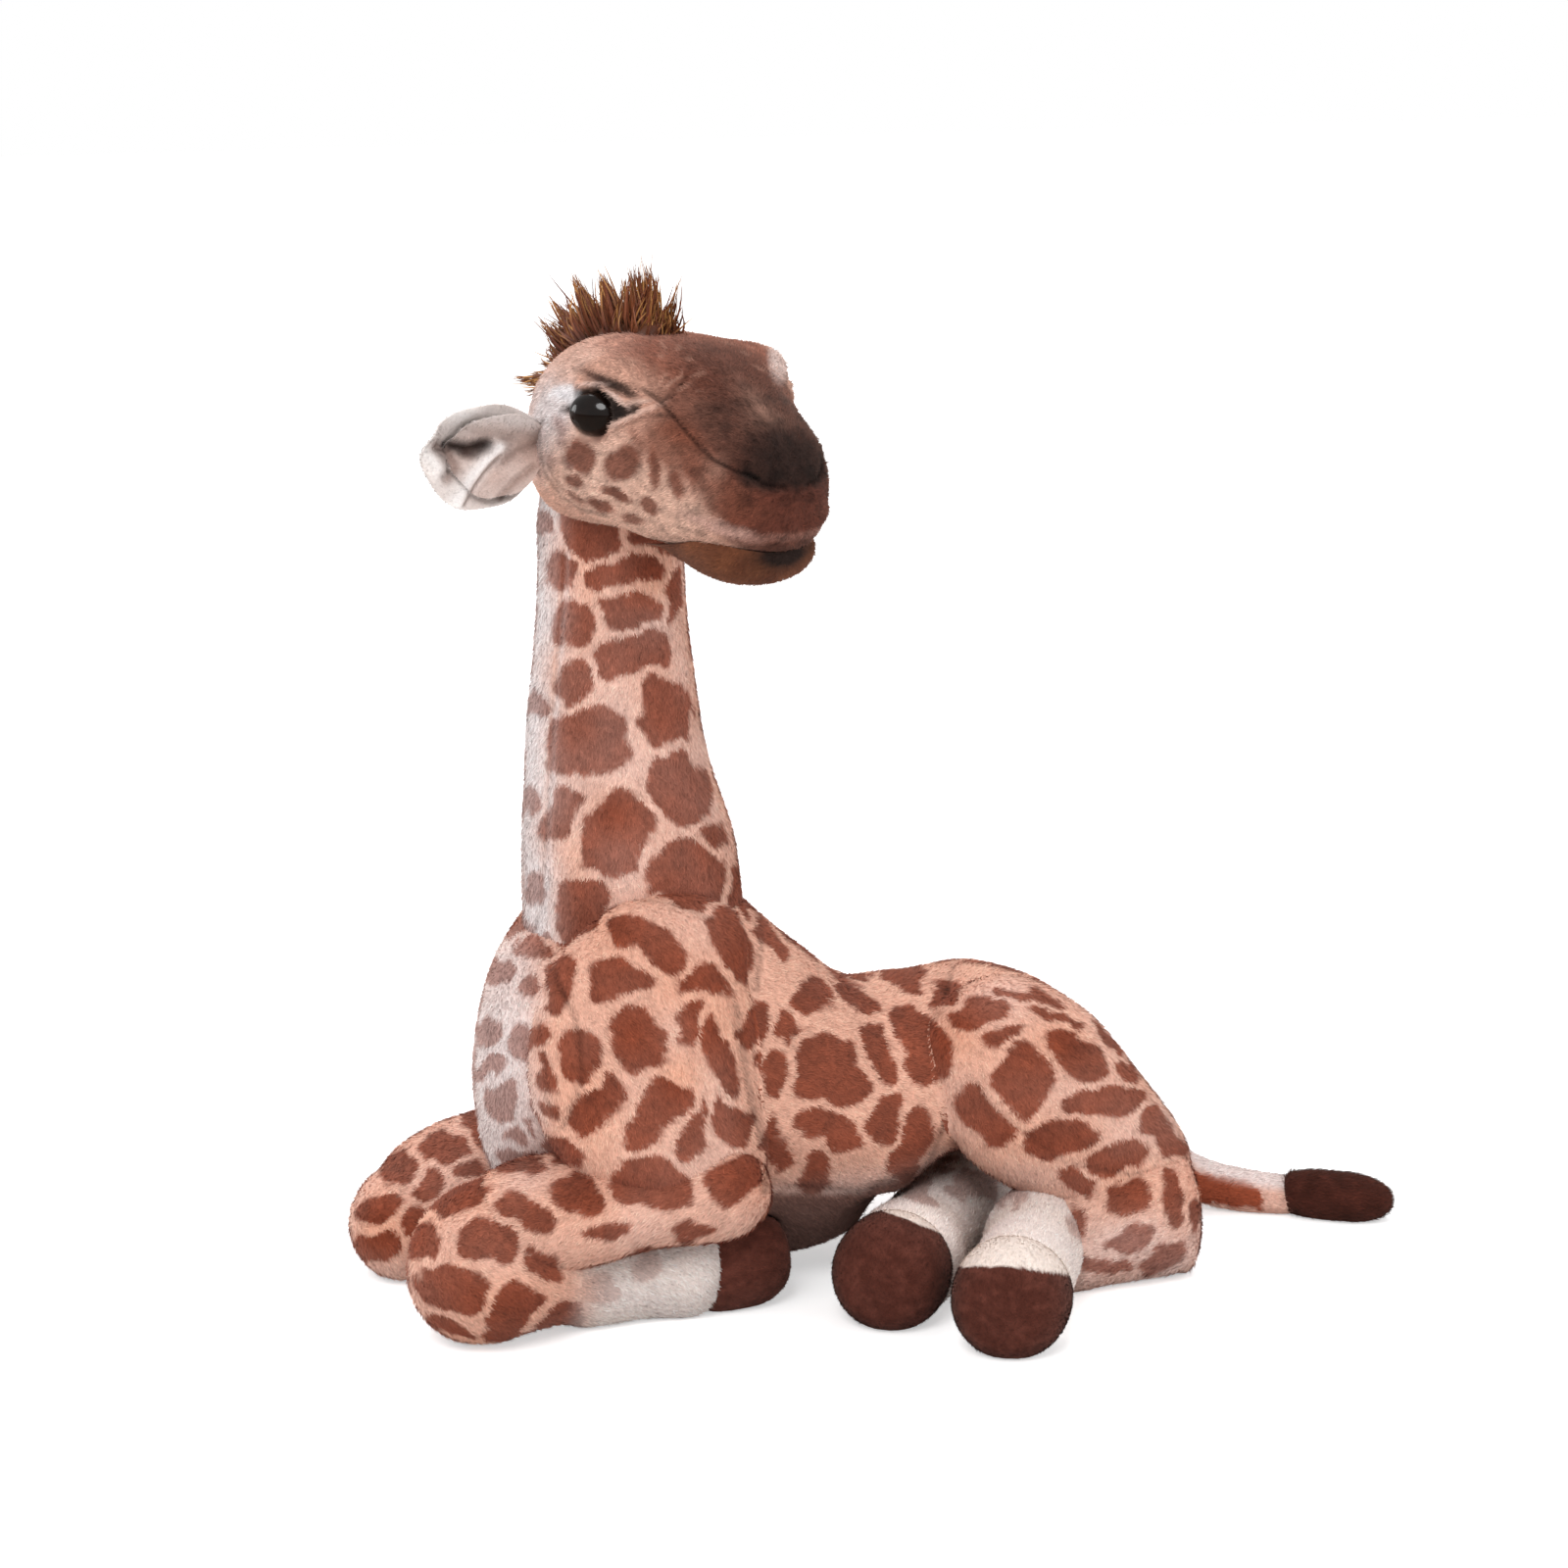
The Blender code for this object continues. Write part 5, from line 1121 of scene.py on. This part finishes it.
def headCoat(points, normals):
    local = toHead(points)
    local[:, 1] = -np.abs(local[:, 1])
    folded = fromHead(local)
    px = inPicture(folded)
    stir = 3.4 * np.stack([cloud(folded, 0.006, 81), cloud(folded, 0.006, 82)], 1)
    stir += 2.4 * np.stack([cloud(folded, 0.0024, 83), cloud(folded, 0.0024, 84)], 1)
    colour = np.repeat(linear("#C99A86")[None], len(points), 0)
    for x, y, a, b, degrees, hexColour, strength, edge in headDabs:
        c, s = math.cos(math.radians(degrees)), math.sin(math.radians(degrees))
        loose = min(1.0, b / 9)
        dx, dy = px[:, 0] - x + loose * stir[:, 0], y - px[:, 1] - loose * stir[:, 1]
        e = np.hypot((dx * c + dy * s) / a, (dy * c - dx * s) / b)
        colour = mix(colour, linear(hexColour), strength * smooth(-edge, edge, (1 - e) * min(a, b)))
    # darker flecks gather towards the nose
    nose = smooth(0.052, 0.095, local[:, 0])
    colour = colour * (1 - 0.38 * nose * smooth(-0.1, 0.7, cloud(folded, 0.0040, 86)))[:, None]
    grain = 0.16 * cloud(folded, 0.0019, 88) + 0.10 * cloud(folded, 0.0010, 89)
    colour = colour * (1 + grain * smooth(-0.01, 0.03, local[:, 0]))[:, None]
    # the far brow's pale edge
    true = inPicture(points)
    far = smooth(0.004, 0.012, toHead(points)[:, 1])
    e = np.hypot((true[:, 0] - 797) / 12, (true[:, 1] - 364) / 24)
    colour = mix(colour, linear("#E0C8C0"), 0.85 * far * smooth(1.4, 0.6, e))
    # the cloth is dark along the mane
    strip = smooth(0.0085, 0.0055, np.abs(local[:, 1])) * smooth(0.038, 0.032, local[:, 0])
    strip = strip * smooth(0.030, 0.040, local[:, 2])
    colour = mix(colour, linear("#4A2216"), 0.9 * strip)
    # short pale strokes fan out over the forehead
    fan = np.arctan2(px[:, 0] - 655, 430 - px[:, 1]) * 30 + 2.2 * cloud(folded, 0.004, 87)
    reach = np.hypot(px[:, 0] - 655, px[:, 1] - 430)
    streaks = smooth(0.2, 0.9, np.sin(fan)) * smooth(30, 46, reach) * smooth(104, 66, reach) * (px[:, 1] < 400)
    colour = mix(colour, linear("#C99A86"), 0.45 * streaks * smooth(-0.4, 0.5, cloud(folded, 0.005, 92)))
    # fine streaks along the nap, and darker strokes from the brow forward
    streak = cloud(local * [0.35, 1.0, 0.6], 0.0016, 85)
    stroke = smooth(0.25, 0.8, cloud(local * [0.30, 1.0, 1.0], 0.0023, 93)) * smooth(-0.005, 0.025, local[:, 0])
    return colour * (1 + 0.12 * streak - 0.20 * stroke)[:, None]


def headLay(points, normals):
    # the nap runs back from the nose, and down over the cheeks
    local = toHead(points)
    way = np.stack([-np.ones(len(points)), 0.35 * np.sign(local[:, 1]), np.full(len(points), -0.45)], 1)
    return way @ headAxes


chinSize = {"front": headPoint(0.955, 0, 0), "long": 0.056, "low": headSize["high"] * 0.065, "wide": 0.040,
            "high": 0.022}
# along, rise, half width, half height
chinRows = [(0.00, 0.20, 0.25, 0.16), (0.40, 0.06, 0.48, 0.43), (0.92, 0.04, 0.40, 0.40), (1.00, 0.10, 0.18, 0.20)]
bags["chin"] = loft([(*(chinSize["front"] + headAxes[0] * (p - 1) * chinSize["long"]
                        - [0, 0, chinSize["low"] - r * chinSize["high"]]),
                      w * chinSize["wide"], h * chinSize["high"]) for p, r, w, h in chinRows])

# domes of the eyes, in metres: wider than high, with a short wall; no nap grows nearer than bare
eyeLook = {"radius": 0.0078, "bulge": 0.0056, "wall": 0.0017, "stem": 0.004, "widen": 1.20, "lower": 0.94,
           "bare": 0.0082, "depth": 0.02, "rings": 14, "columns": 40}
eyeSpots = {}
for label, sign in (("left", 1), ("right", -1)):
    aim, lift = sign * math.radians(62), math.radians(4)
    out = np.array([math.cos(lift) * math.cos(aim), math.cos(lift) * math.sin(aim), math.sin(lift)]) @ headAxes
    eyeSpots[label] = (headPoint(0.515, sign * 0.45, 0.52), unit(out))


def roundEye(points, spot, out):
    # height over the eye's seat and distance from its axis
    deep = (points - spot) @ out
    return deep, np.linalg.norm(points - spot - deep[:, None] * out, axis=1)


def clearOfEyes(root):
    # no nap grows over the domes
    clear = np.ones(len(root), bool)
    for spot, out in eyeSpots.values():
        deep, side = roundEye(root, spot, out)
        clear &= (side > eyeLook["bare"]) | (np.abs(deep) > eyeLook["depth"])
    return clear


def headSkin(points):
    # the skin lies behind the eye's rim where the dome stands out of it
    for spot, out in eyeSpots.values():
        deep, side = roundEye(points, spot, out)
        sink = smooth(0.0100, 0.0070, side) * (np.abs(deep) < eyeLook["depth"])
        points = points - out * (np.maximum(deep + 0.0008, 0) * sink)[:, None]
    return points


stuffedPiece("head_bag", bags["head"], 0.0011, headCoat,
             {"lay": headLay, "length": 0.0021, "width": 0.00048, "density": 2.4, "lift": 14, "clear": clearOfEyes,
              "fleck": 0.20, "others": [neckBag, bags["chin"]]},
             "head", "head", 0.0005, 83, headFeatures, headSkin)


def chinCoat(points, normals):
    local = toHead(points) * 1000
    base = mix(linear("#7E4B30"), linear("#5E3423"), 0.5 + 0.5 * cloud(points, 0.006, 91))
    dark = np.exp(-(((local - [101, 0, -4]) / [9, 12, 5]) ** 2).sum(1))
    return mix(base, linear("#1D1412"), np.clip(dark * 1.6, 0, 0.95))


stuffedPiece("chin_bag", bags["chin"], 0.0014, chinCoat,
             {"lay": headLay, "length": 0.0022, "width": 0.0005, "density": 2.2, "others": [bags["head"]]},
             "head", "chin", 0.0004, 91, None, lambda p: pressOut(p, bags["head"]))
print("head done")


# eyes
def eyeGrid(spot, out):
    # a half ellipsoid of radius R and bulge B over a short wall: r = R cos f, h = B sin f
    f = np.linspace(math.pi / 2, 0, eyeLook["rings"])
    wall = -eyeLook["wall"]
    radius = np.concatenate([eyeLook["radius"] * np.cos(f), [eyeLook["radius"]] * 2, [eyeLook["stem"], 0.0]])
    height = np.concatenate([eyeLook["bulge"] * np.sin(f), [-0.0008, wall, wall, wall]])
    radius[0] = 0
    a = unit(np.cross(out, [0, 0, 1.0]))
    b = np.cross(out, a)
    angle = np.linspace(0, 2 * math.pi, eyeLook["columns"], endpoint=False)
    ring = a * np.cos(angle)[:, None] * eyeLook["widen"] + b * np.sin(angle)[:, None] * eyeLook["lower"]
    return spot + radius[:, None, None] * ring[None] + height[:, None, None] * out


for label, (spot, out) in eyeSpots.items():
    grid = eyeGrid(spot, out)
    normals = outwardNormals(grid, spot - out * 0.001)
    piece = buildPiece("eye_dome_" + label, grid, normals, np.ones_like(grid) * linear("#120C0A"), None, acrylicEye)
    dress(piece, "head", "eye_" + label)
    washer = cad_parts["eye_washer_" + label]
    washer.data.materials.clear()
    washer.data.materials.append(mouldedNylon)
print("eyes done")

# ears
earLook = {"length": 0.042, "width": 0.035, "cup": 0.013, "rings": 56, "columns": 128, "sweep": 12, "droop": 6}
# ridges and hollows of the velour in the picture, near ear: points, height, half width, colour, strength; the dark
# colours are painted shade in the hollows and creases, the pale ones run along the ridges
earLines = [
    ([(437, 442), (440, 429), (456, 424), (490, 423), (520, 427), (546, 431)], 2.8, 4.2, "#F6F1EF", 0.6),
    ([(437, 440), (438, 458), (446, 475), (457, 490)], 2.2, 3.2, "#F1EBE8", 0.6),
    ([(446, 455), (458, 464), (464, 478), (456, 489)], -2.4, 2.8, "#94766B", 0.75),
    ([(459, 454), (476, 457), (497, 453)], -3.6, 2.2, "#33221C", 0.97),
    ([(474, 463), (486, 464), (497, 456)], -2.6, 2.0, "#4A332B", 0.8),
    ([(510, 456), (495, 471), (480, 489), (467, 511)], 2.6, 2.9, "#F6F1EF", 0.9),
    ([(508, 466), (494, 481), (483, 497), (474, 515)], -1.0, 0.9, "#B59A8E", 0.40),
    ([(545, 476), (528, 490), (511, 507)], -1.4, 1.5, "#94766B", 0.6),
    ([(550, 452), (530, 460), (515, 472)], -0.8, 1.4, "#A58A80", 0.5),
    ([(476, 436), (500, 441), (524, 446)], -0.7, 1.5, "#C3AFA6", 0.5),
]


def earFold(points, face):
    # lines of the picture laid on the near ear and on the far one alike, on their front face only
    local = toHead(points)
    local[:, 1] = -np.abs(local[:, 1])
    near = fromHead(local)
    move, tint = np.zeros(len(points)), []
    for line, height, width, hexColour, strength in earLines:
        close = seamLine(near, line, width)
        move += 0.001 * height * close
        tint.append((close * face * strength, linear(hexColour)))
    return move, tint


def earGrid(root, out, front, trim, lift, wall):
    # a leaf: x = L t, y = cos(a) W(t)/2, z = curl(|cos a|) C W(t) + wall sin(a) / 2, closed round its rim
    w = np.linspace(0, 1, earLook["rings"])
    t = -0.10 + 1.119 * (1 - (1 - w) ** 1.6)
    rising = 0.36 + 0.64 * np.sin(np.clip(t / 0.52, -0.2, 1) * math.pi / 2)
    tipped = np.sqrt(np.clip(1 - np.clip((t - 0.52) / 0.50, 0, 1) ** 4.6, 0.0004, 1))
    breadth = np.where(t < 0.52, rising, tipped)
    a = np.linspace(0, 2 * math.pi, earLook["columns"], endpoint=False)
    share = np.sign(np.cos(a)) * np.abs(np.cos(a)) ** 0.85
    thick = np.sign(np.sin(a)) * np.abs(np.sin(a)) ** 0.6
    curl = 0.2 + 0.8 * np.clip((np.abs(share) - 0.25) / 0.75, 0, 1) ** 1.6
    x = (t * trim * earLook["length"])[:, None] + 0 * a
    y = share[None] * breadth[:, None] * trim * earLook["width"] / 2
    z = lift + curl[None] * earLook["cup"] * breadth[:, None] + wall / 2 * (thick[None] * breadth[:, None] ** 0.3 - 1)
    side = np.cross(front, out)
    grid = root + x[..., None] * out + y[..., None] * side + z[..., None] * front
    grid[0], grid[-1] = grid[0].mean(0), grid[-1].mean(0)
    face = np.repeat((np.sin(a) > -0.05).astype(float)[None], len(t), 0)
    return grid, face


def earCoat(pink, root, out, front, seed):
    # cream velour, pinker in the hollow, with painted shade in its creases and in the hollow under its rim, and
    # painted shade towards the root
    def colour(points, normals):
        t = (points - root) @ out / earLook["length"]
        face = smooth(-0.2, 0.3, normals @ front)
        warm = np.clip(pink * (0.9 - 0.5 * t) * face + 0.15 * cloud(points, 0.008, seed), 0, 1)
        found = mix(linear("#EAE2DE"), linear("#C4A294"), warm)
        for share, tint in earFold(points, face)[1]:
            found = mix(found, tint, share)
        found = mix(found, linear("#9B7E74"), 0.35 * smooth(0.14, 0.0, t))
        return found * (1 + 0.05 * cloud(points, 0.002, seed + 3))[:, None]
    return colour


# the outer leaf and the inner panel: piece, node, size, lift, wall, pinkness
earLeaves = [("ear_shell_", "ear_back_", 1.0, 0.0, 0.0026, 0.25),
             ("ear_panel_", "ear_lining_", 0.80, 0.0021, 0.0014, 0.9)]
for label, sign in (("left", 1), ("right", -1)):
    root = headPoint(0.235, sign * 0.425, 0.35)
    sweep, droop = math.radians(earLook["sweep"]), math.radians(earLook["droop"])
    out = unit(np.array([-math.sin(sweep), sign * math.cos(sweep), -math.tan(droop)])) @ headAxes
    front = unit(headAxes[0] - out * (headAxes[0] @ out))
    earNap = {**napDefaults, "lay": tuple(out), "length": 0.0013, "width": 0.0004, "density": 2.0, "lift": 28,
              "floor": -1, "others": [bags["head"]], "root": 0.88, "tip": 1.04}
    for name, node, trim, lift, wall, pink in earLeaves:
        grid, face = earGrid(root, out, front, trim, lift, wall)
        move = earFold(grid.reshape(-1, 3), face.ravel())[0].reshape(face.shape)
        grid = grid + front * move[..., None]
        normals = outwardNormals(grid, grid.mean(1, keepdims=True))
        coat = earCoat(pink, root, out, front, 95)
        colours = (coat(grid.reshape(-1, 3), normals.reshape(-1, 3)) * 0.97).reshape(grid.shape)
        blades = growNap(grid, normals, np.zeros(grid.shape[:2], bool), earNap, coat, 97)
        piece = buildPiece(name + label, grid, normals, colours, blades, cottonVelour)
        dress(piece, "ear_" + label, node + label)
print("ears done")

# mane
maneLook = {"strandsPerLock": 95, "width": 0.0010, "steps": 6, "seed": 404, "strip": (0.0050, 0.0040)}
# the strip along the head's middle: shares of the head's length and height
manePath = np.array([(0.46, 0.812), (0.36, 0.822), (0.26, 0.800), (0.17, 0.752), (0.10, 0.690), (0.035, 0.565)])
# each lock: place along the strip, place across, its tip's place and height in millimetres, fullness
maneLocks = [
    (0.00, 0, 34, 67, 0.5), (0.02, -1, 32, 68, 0.6), (0.03, 1, 35, 70, 0.6), (0.06, 0, 33, 72, 0.8),
    (0.08, -1, 29, 72, 0.7), (0.10, 1, 33, 73, 0.6), (0.12, 2, 39, 84, 0.22), (0.13, 0, 28, 83, 0.9),
    (0.17, -1, 24, 75, 0.7),
    (0.20, 1, 19, 87, 1.0), (0.22, -1, 16, 85.5, 1.0), (0.27, 2, 20, 78, 0.6), (0.29, 0, 10, 82, 0.9),
    (0.34, -1, 8, 74, 0.7), (0.38, 1, 3, 76, 0.7), (0.41, -1, -3, 83, 1.0), (0.45, 1, -5, 80, 0.9),
    (0.50, 0, -10, 74, 0.7), (0.54, -1, -19, 81, 1.0), (0.57, 1, -24, 79, 0.9), (0.62, -1, -25, 72, 0.9),
    (0.66, 1, -35, 67, 1.0), (0.70, 0, -37, 71, 0.6), (0.72, -1, -35, 62, 1.0), (0.78, 1, -39, 59.5, 1.0),
    (0.82, -1, -42, 63, 0.5), (0.85, 0, -40, 52, 0.9), (0.92, 0, -43, 47, 0.8), (1.00, -1, -57, 39, 0.7),
    (1.00, 1, -51, 42, 0.6), (0.98, 0, -47, 36, 0.6), (1.00, 0, -54, 34, 0.5)]


def maneStrands():
    # fibres of a lock start spread over the strip and meet at its tip:
    # P = root + (tip - root) s + 2 sag s (1 - s)
    rng = np.random.default_rng(maneLook["seed"])
    line = toHead(np.stack([headPoint(along, 0, up) for along, up in manePath]))
    walk = np.concatenate([[0], np.cumsum(np.linalg.norm(np.diff(line, axis=0), axis=1))])
    at = lambda d: np.stack([np.interp(d, walk, line[:, k]) for k in range(3)], 1)
    ribbons, colours = [], []
    dark, deep, mid, gold = linear("#2A120A"), linear("#54271A"), linear("#82482C"), linear("#C68F52")
    s = np.linspace(0, 1, maneLook["steps"] + 1)[None, :, None]
    flat = s[0, :, 0]
    for share, across, tipX, tipZ, fullness in maneLocks:
        n = int(maneLook["strandsPerLock"] * fullness)
        middle = share * walk[-1]
        root = at(np.clip(middle + rng.normal(0, 0.0019, n), 0, walk[-1]))
        tangent = unit(at(np.clip([middle + 0.002], 0, walk[-1])) - at(np.clip([middle - 0.002], 0, walk[-1])))
        outward = unit(np.array([[-tangent[0, 2], 0, tangent[0, 0]]]))
        outward = outward * np.sign(outward[0, 2])
        root[:, 1] += np.clip(across * 0.0014 + rng.normal(0, 0.0017, n), -0.0048, 0.0048)
        root -= outward * 0.0015
        stray = np.where(rng.random((n, 1)) < 0.10, 0.0035, 0.0009)
        tip = np.array([[tipX, across * 1.6, tipZ]]) * 0.001 + rng.normal(size=(n, 3)) * stray
        tip = root + (tip - root) * np.clip(rng.beta(3.2, 1.2, (n, 1)), 0.25, 1.0)
        sag = (rng.normal(0, 0.0010, (n, 3)) + (root - at([middle])) * 0.9)[:, None]
        centre = root[:, None] + (tip - root)[:, None] * s + sag * 2 * s * (1 - s)
        sideways = unit(np.cross((tip - root), rng.normal(size=(n, 3))))[:, None]
        half = maneLook["width"] / 2 * (1 - s ** 2.0 * 0.95)
        ribbons.append(np.stack([centre - sideways * half, centre + sideways * half], 2))
        tint, lit = rng.uniform(0, 1, n), smooth(0.45, 1.0, rng.random(n)) * (1.4 if share > 0.9 else 1.0)
        body = mix(np.repeat(deep[None], n, 0), mid, tint)
        shade = smooth(0.02, 0.42, flat)[None].repeat(n, 0)
        found = mix(np.repeat(dark[None, None], n, 0).repeat(len(flat), 1), body[:, None], shade)
        colours.append(mix(found, gold, np.clip(smooth(0.40, 0.95, flat)[None] * lit[:, None], 0, 1)))
    ribbons, colours = np.concatenate(ribbons), np.concatenate(colours)
    return fromHead(ribbons.reshape(-1, 3)), colours.reshape(-1, 3), len(ribbons)


# the strip of cloth that the pile stands on
strip = loft([(*headPoint(along, 0, up), *maneLook["strip"]) for along, up in manePath], straight=False)
grid = bagSurface(strip, 0.0012)
normals = outwardNormals(grid, grid.mean(1, keepdims=True))
stripPiece = buildPiece("mane_strip", grid, normals, np.ones_like(grid) * linear("#4A2413"), None, maneFibre)
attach(stripPiece, "head")
# every fibre is a ribbon of quads between pairs of points
points, colours, count = maneStrands()
steps = maneLook["steps"]
k = np.arange(steps) * 2
quad = np.stack([k, k + 1, k + 3, k + 2], 1)
faces = (np.arange(count)[:, None, None] * (2 * steps + 2) + quad[None]).reshape(-1, 4)
mesh = bpy.data.meshes.new("mane_locks")
mesh.from_pydata(points.tolist(), [], faces.tolist())
corners = np.stack([np.tile([0.15, 0.85], steps + 1), np.repeat(np.linspace(0.05, 0.95, steps + 1), 2)], 1)
cells = mapCells(count, int(math.sqrt(count * 2)), 0.0, corners)
paintMesh(mesh, cells[faces.ravel()], np.repeat(colours, 2, 0))
dress(placeMesh(mesh, maneFibre), "head", "mane")
print("mane done")

# floor and light
studio = {"floor": "#F4F4F4", "mirrored": "#8A8078", "world": 0.56, "near": 0.50, "fadeFrom": 0.22, "fadeTo": 0.55,
          "middle": (0.09, -0.02, 0.0), "half": 6}
# place, target, size and power
lamps = {
    "keyLamp": ((-1.0, -1.4, 1.6), (0.08, 0, 0.12), 1.1, 28.5),
    "rimLamp": ((-1.5, 1.15, 0.55), (0.0, 0, 0.20), 0.9, 9.0),
    "fillLamp": ((1.3, -1.2, 0.9), (0.08, 0, 0.12), 1.4, 7.5),
    "topLamp": ((0.1, 0.5, 1.6), (0.08, 0, 0.12), 1.0, 9.5),
}


def floorMaterial():
    # matt white sweep: seen directly it glows to plain white away from the toy, so that only the soft
    # shadow shows near it; in glossy reflections it is grey
    material, tree = newMaterial("studioSweep")
    path = addNode(tree, "ShaderNodeLightPath")
    place = addNode(tree, "ShaderNodeTexCoord")
    away = addNode(tree, "ShaderNodeVectorMath", {"operation": "DISTANCE"}, {0: place.outputs["Object"]})
    away.inputs[1].default_value = studio["middle"]
    fade = addNode(tree, "ShaderNodeMapRange", {"interpolation_type": "SMOOTHSTEP"}, {"Value": away.outputs["Value"]},
                   From_Min=studio["fadeFrom"], From_Max=studio["fadeTo"], To_Min=studio["near"], To_Max=1.0)
    share = addNode(tree, "ShaderNodeMath", {"operation": "MULTIPLY"},
                    {0: path.outputs["Is Camera Ray"], 1: fade.outputs["Result"]})
    tone = addNode(tree, "ShaderNodeMixRGB", {}, {"Fac": path.outputs["Is Glossy Ray"]},
                   Color1=(*linear(studio["floor"]), 1), Color2=(*linear(studio["mirrored"]), 1))
    matt = addNode(tree, "ShaderNodeBsdfDiffuse", {}, {"Color": tone.outputs["Color"]})
    white = addNode(tree, "ShaderNodeEmission", {}, {"Strength": share.outputs[0]}, Color=(1, 1, 1, 1))
    both = addNode(tree, "ShaderNodeAddShader", {}, {0: matt.outputs[0], 1: white.outputs[0]})
    addNode(tree, "ShaderNodeOutputMaterial", {}, {"Surface": both.outputs[0]})
    return material


floorMesh = bpy.data.meshes.new("studio_floor")
half = studio["half"]
floorMesh.from_pydata([(-half, -half, 0), (half, -half, 0), (half, half, 0), (-half, half, 0)], [], [(0, 1, 2, 3)])
placeMesh(floorMesh, floorMaterial())

# plain white air for the camera, dimmer for the light it gives
world = bpy.data.worlds.new("studioWorld")
scene.world = world
world.use_nodes = True
tree = world.node_tree
tree.nodes.clear()
path = addNode(tree, "ShaderNodeLightPath")
strength = addNode(tree, "ShaderNodeMapRange", {}, {"Value": path.outputs["Is Camera Ray"]},
                   To_Min=studio["world"], To_Max=1.0)
air = addNode(tree, "ShaderNodeBackground", {}, {"Strength": strength.outputs["Result"]}, Color=(1, 1, 1, 1))
addNode(tree, "ShaderNodeOutputWorld", {}, {"Surface": air.outputs[0]})

for name, (place, target, size, power) in lamps.items():
    lamp = bpy.data.lights.new(name, "AREA")
    lamp.shape = "DISK"
    lamp.size = size
    lamp.energy = power
    thing = bpy.data.objects.new(name, lamp)
    thing.location = place
    thing.rotation_mode = "QUATERNION"
    thing.rotation_quaternion = (Vector(target) - Vector(place)).to_track_quat("-Z", "Y")
    scene.collection.objects.link(thing)

print("scene ready")
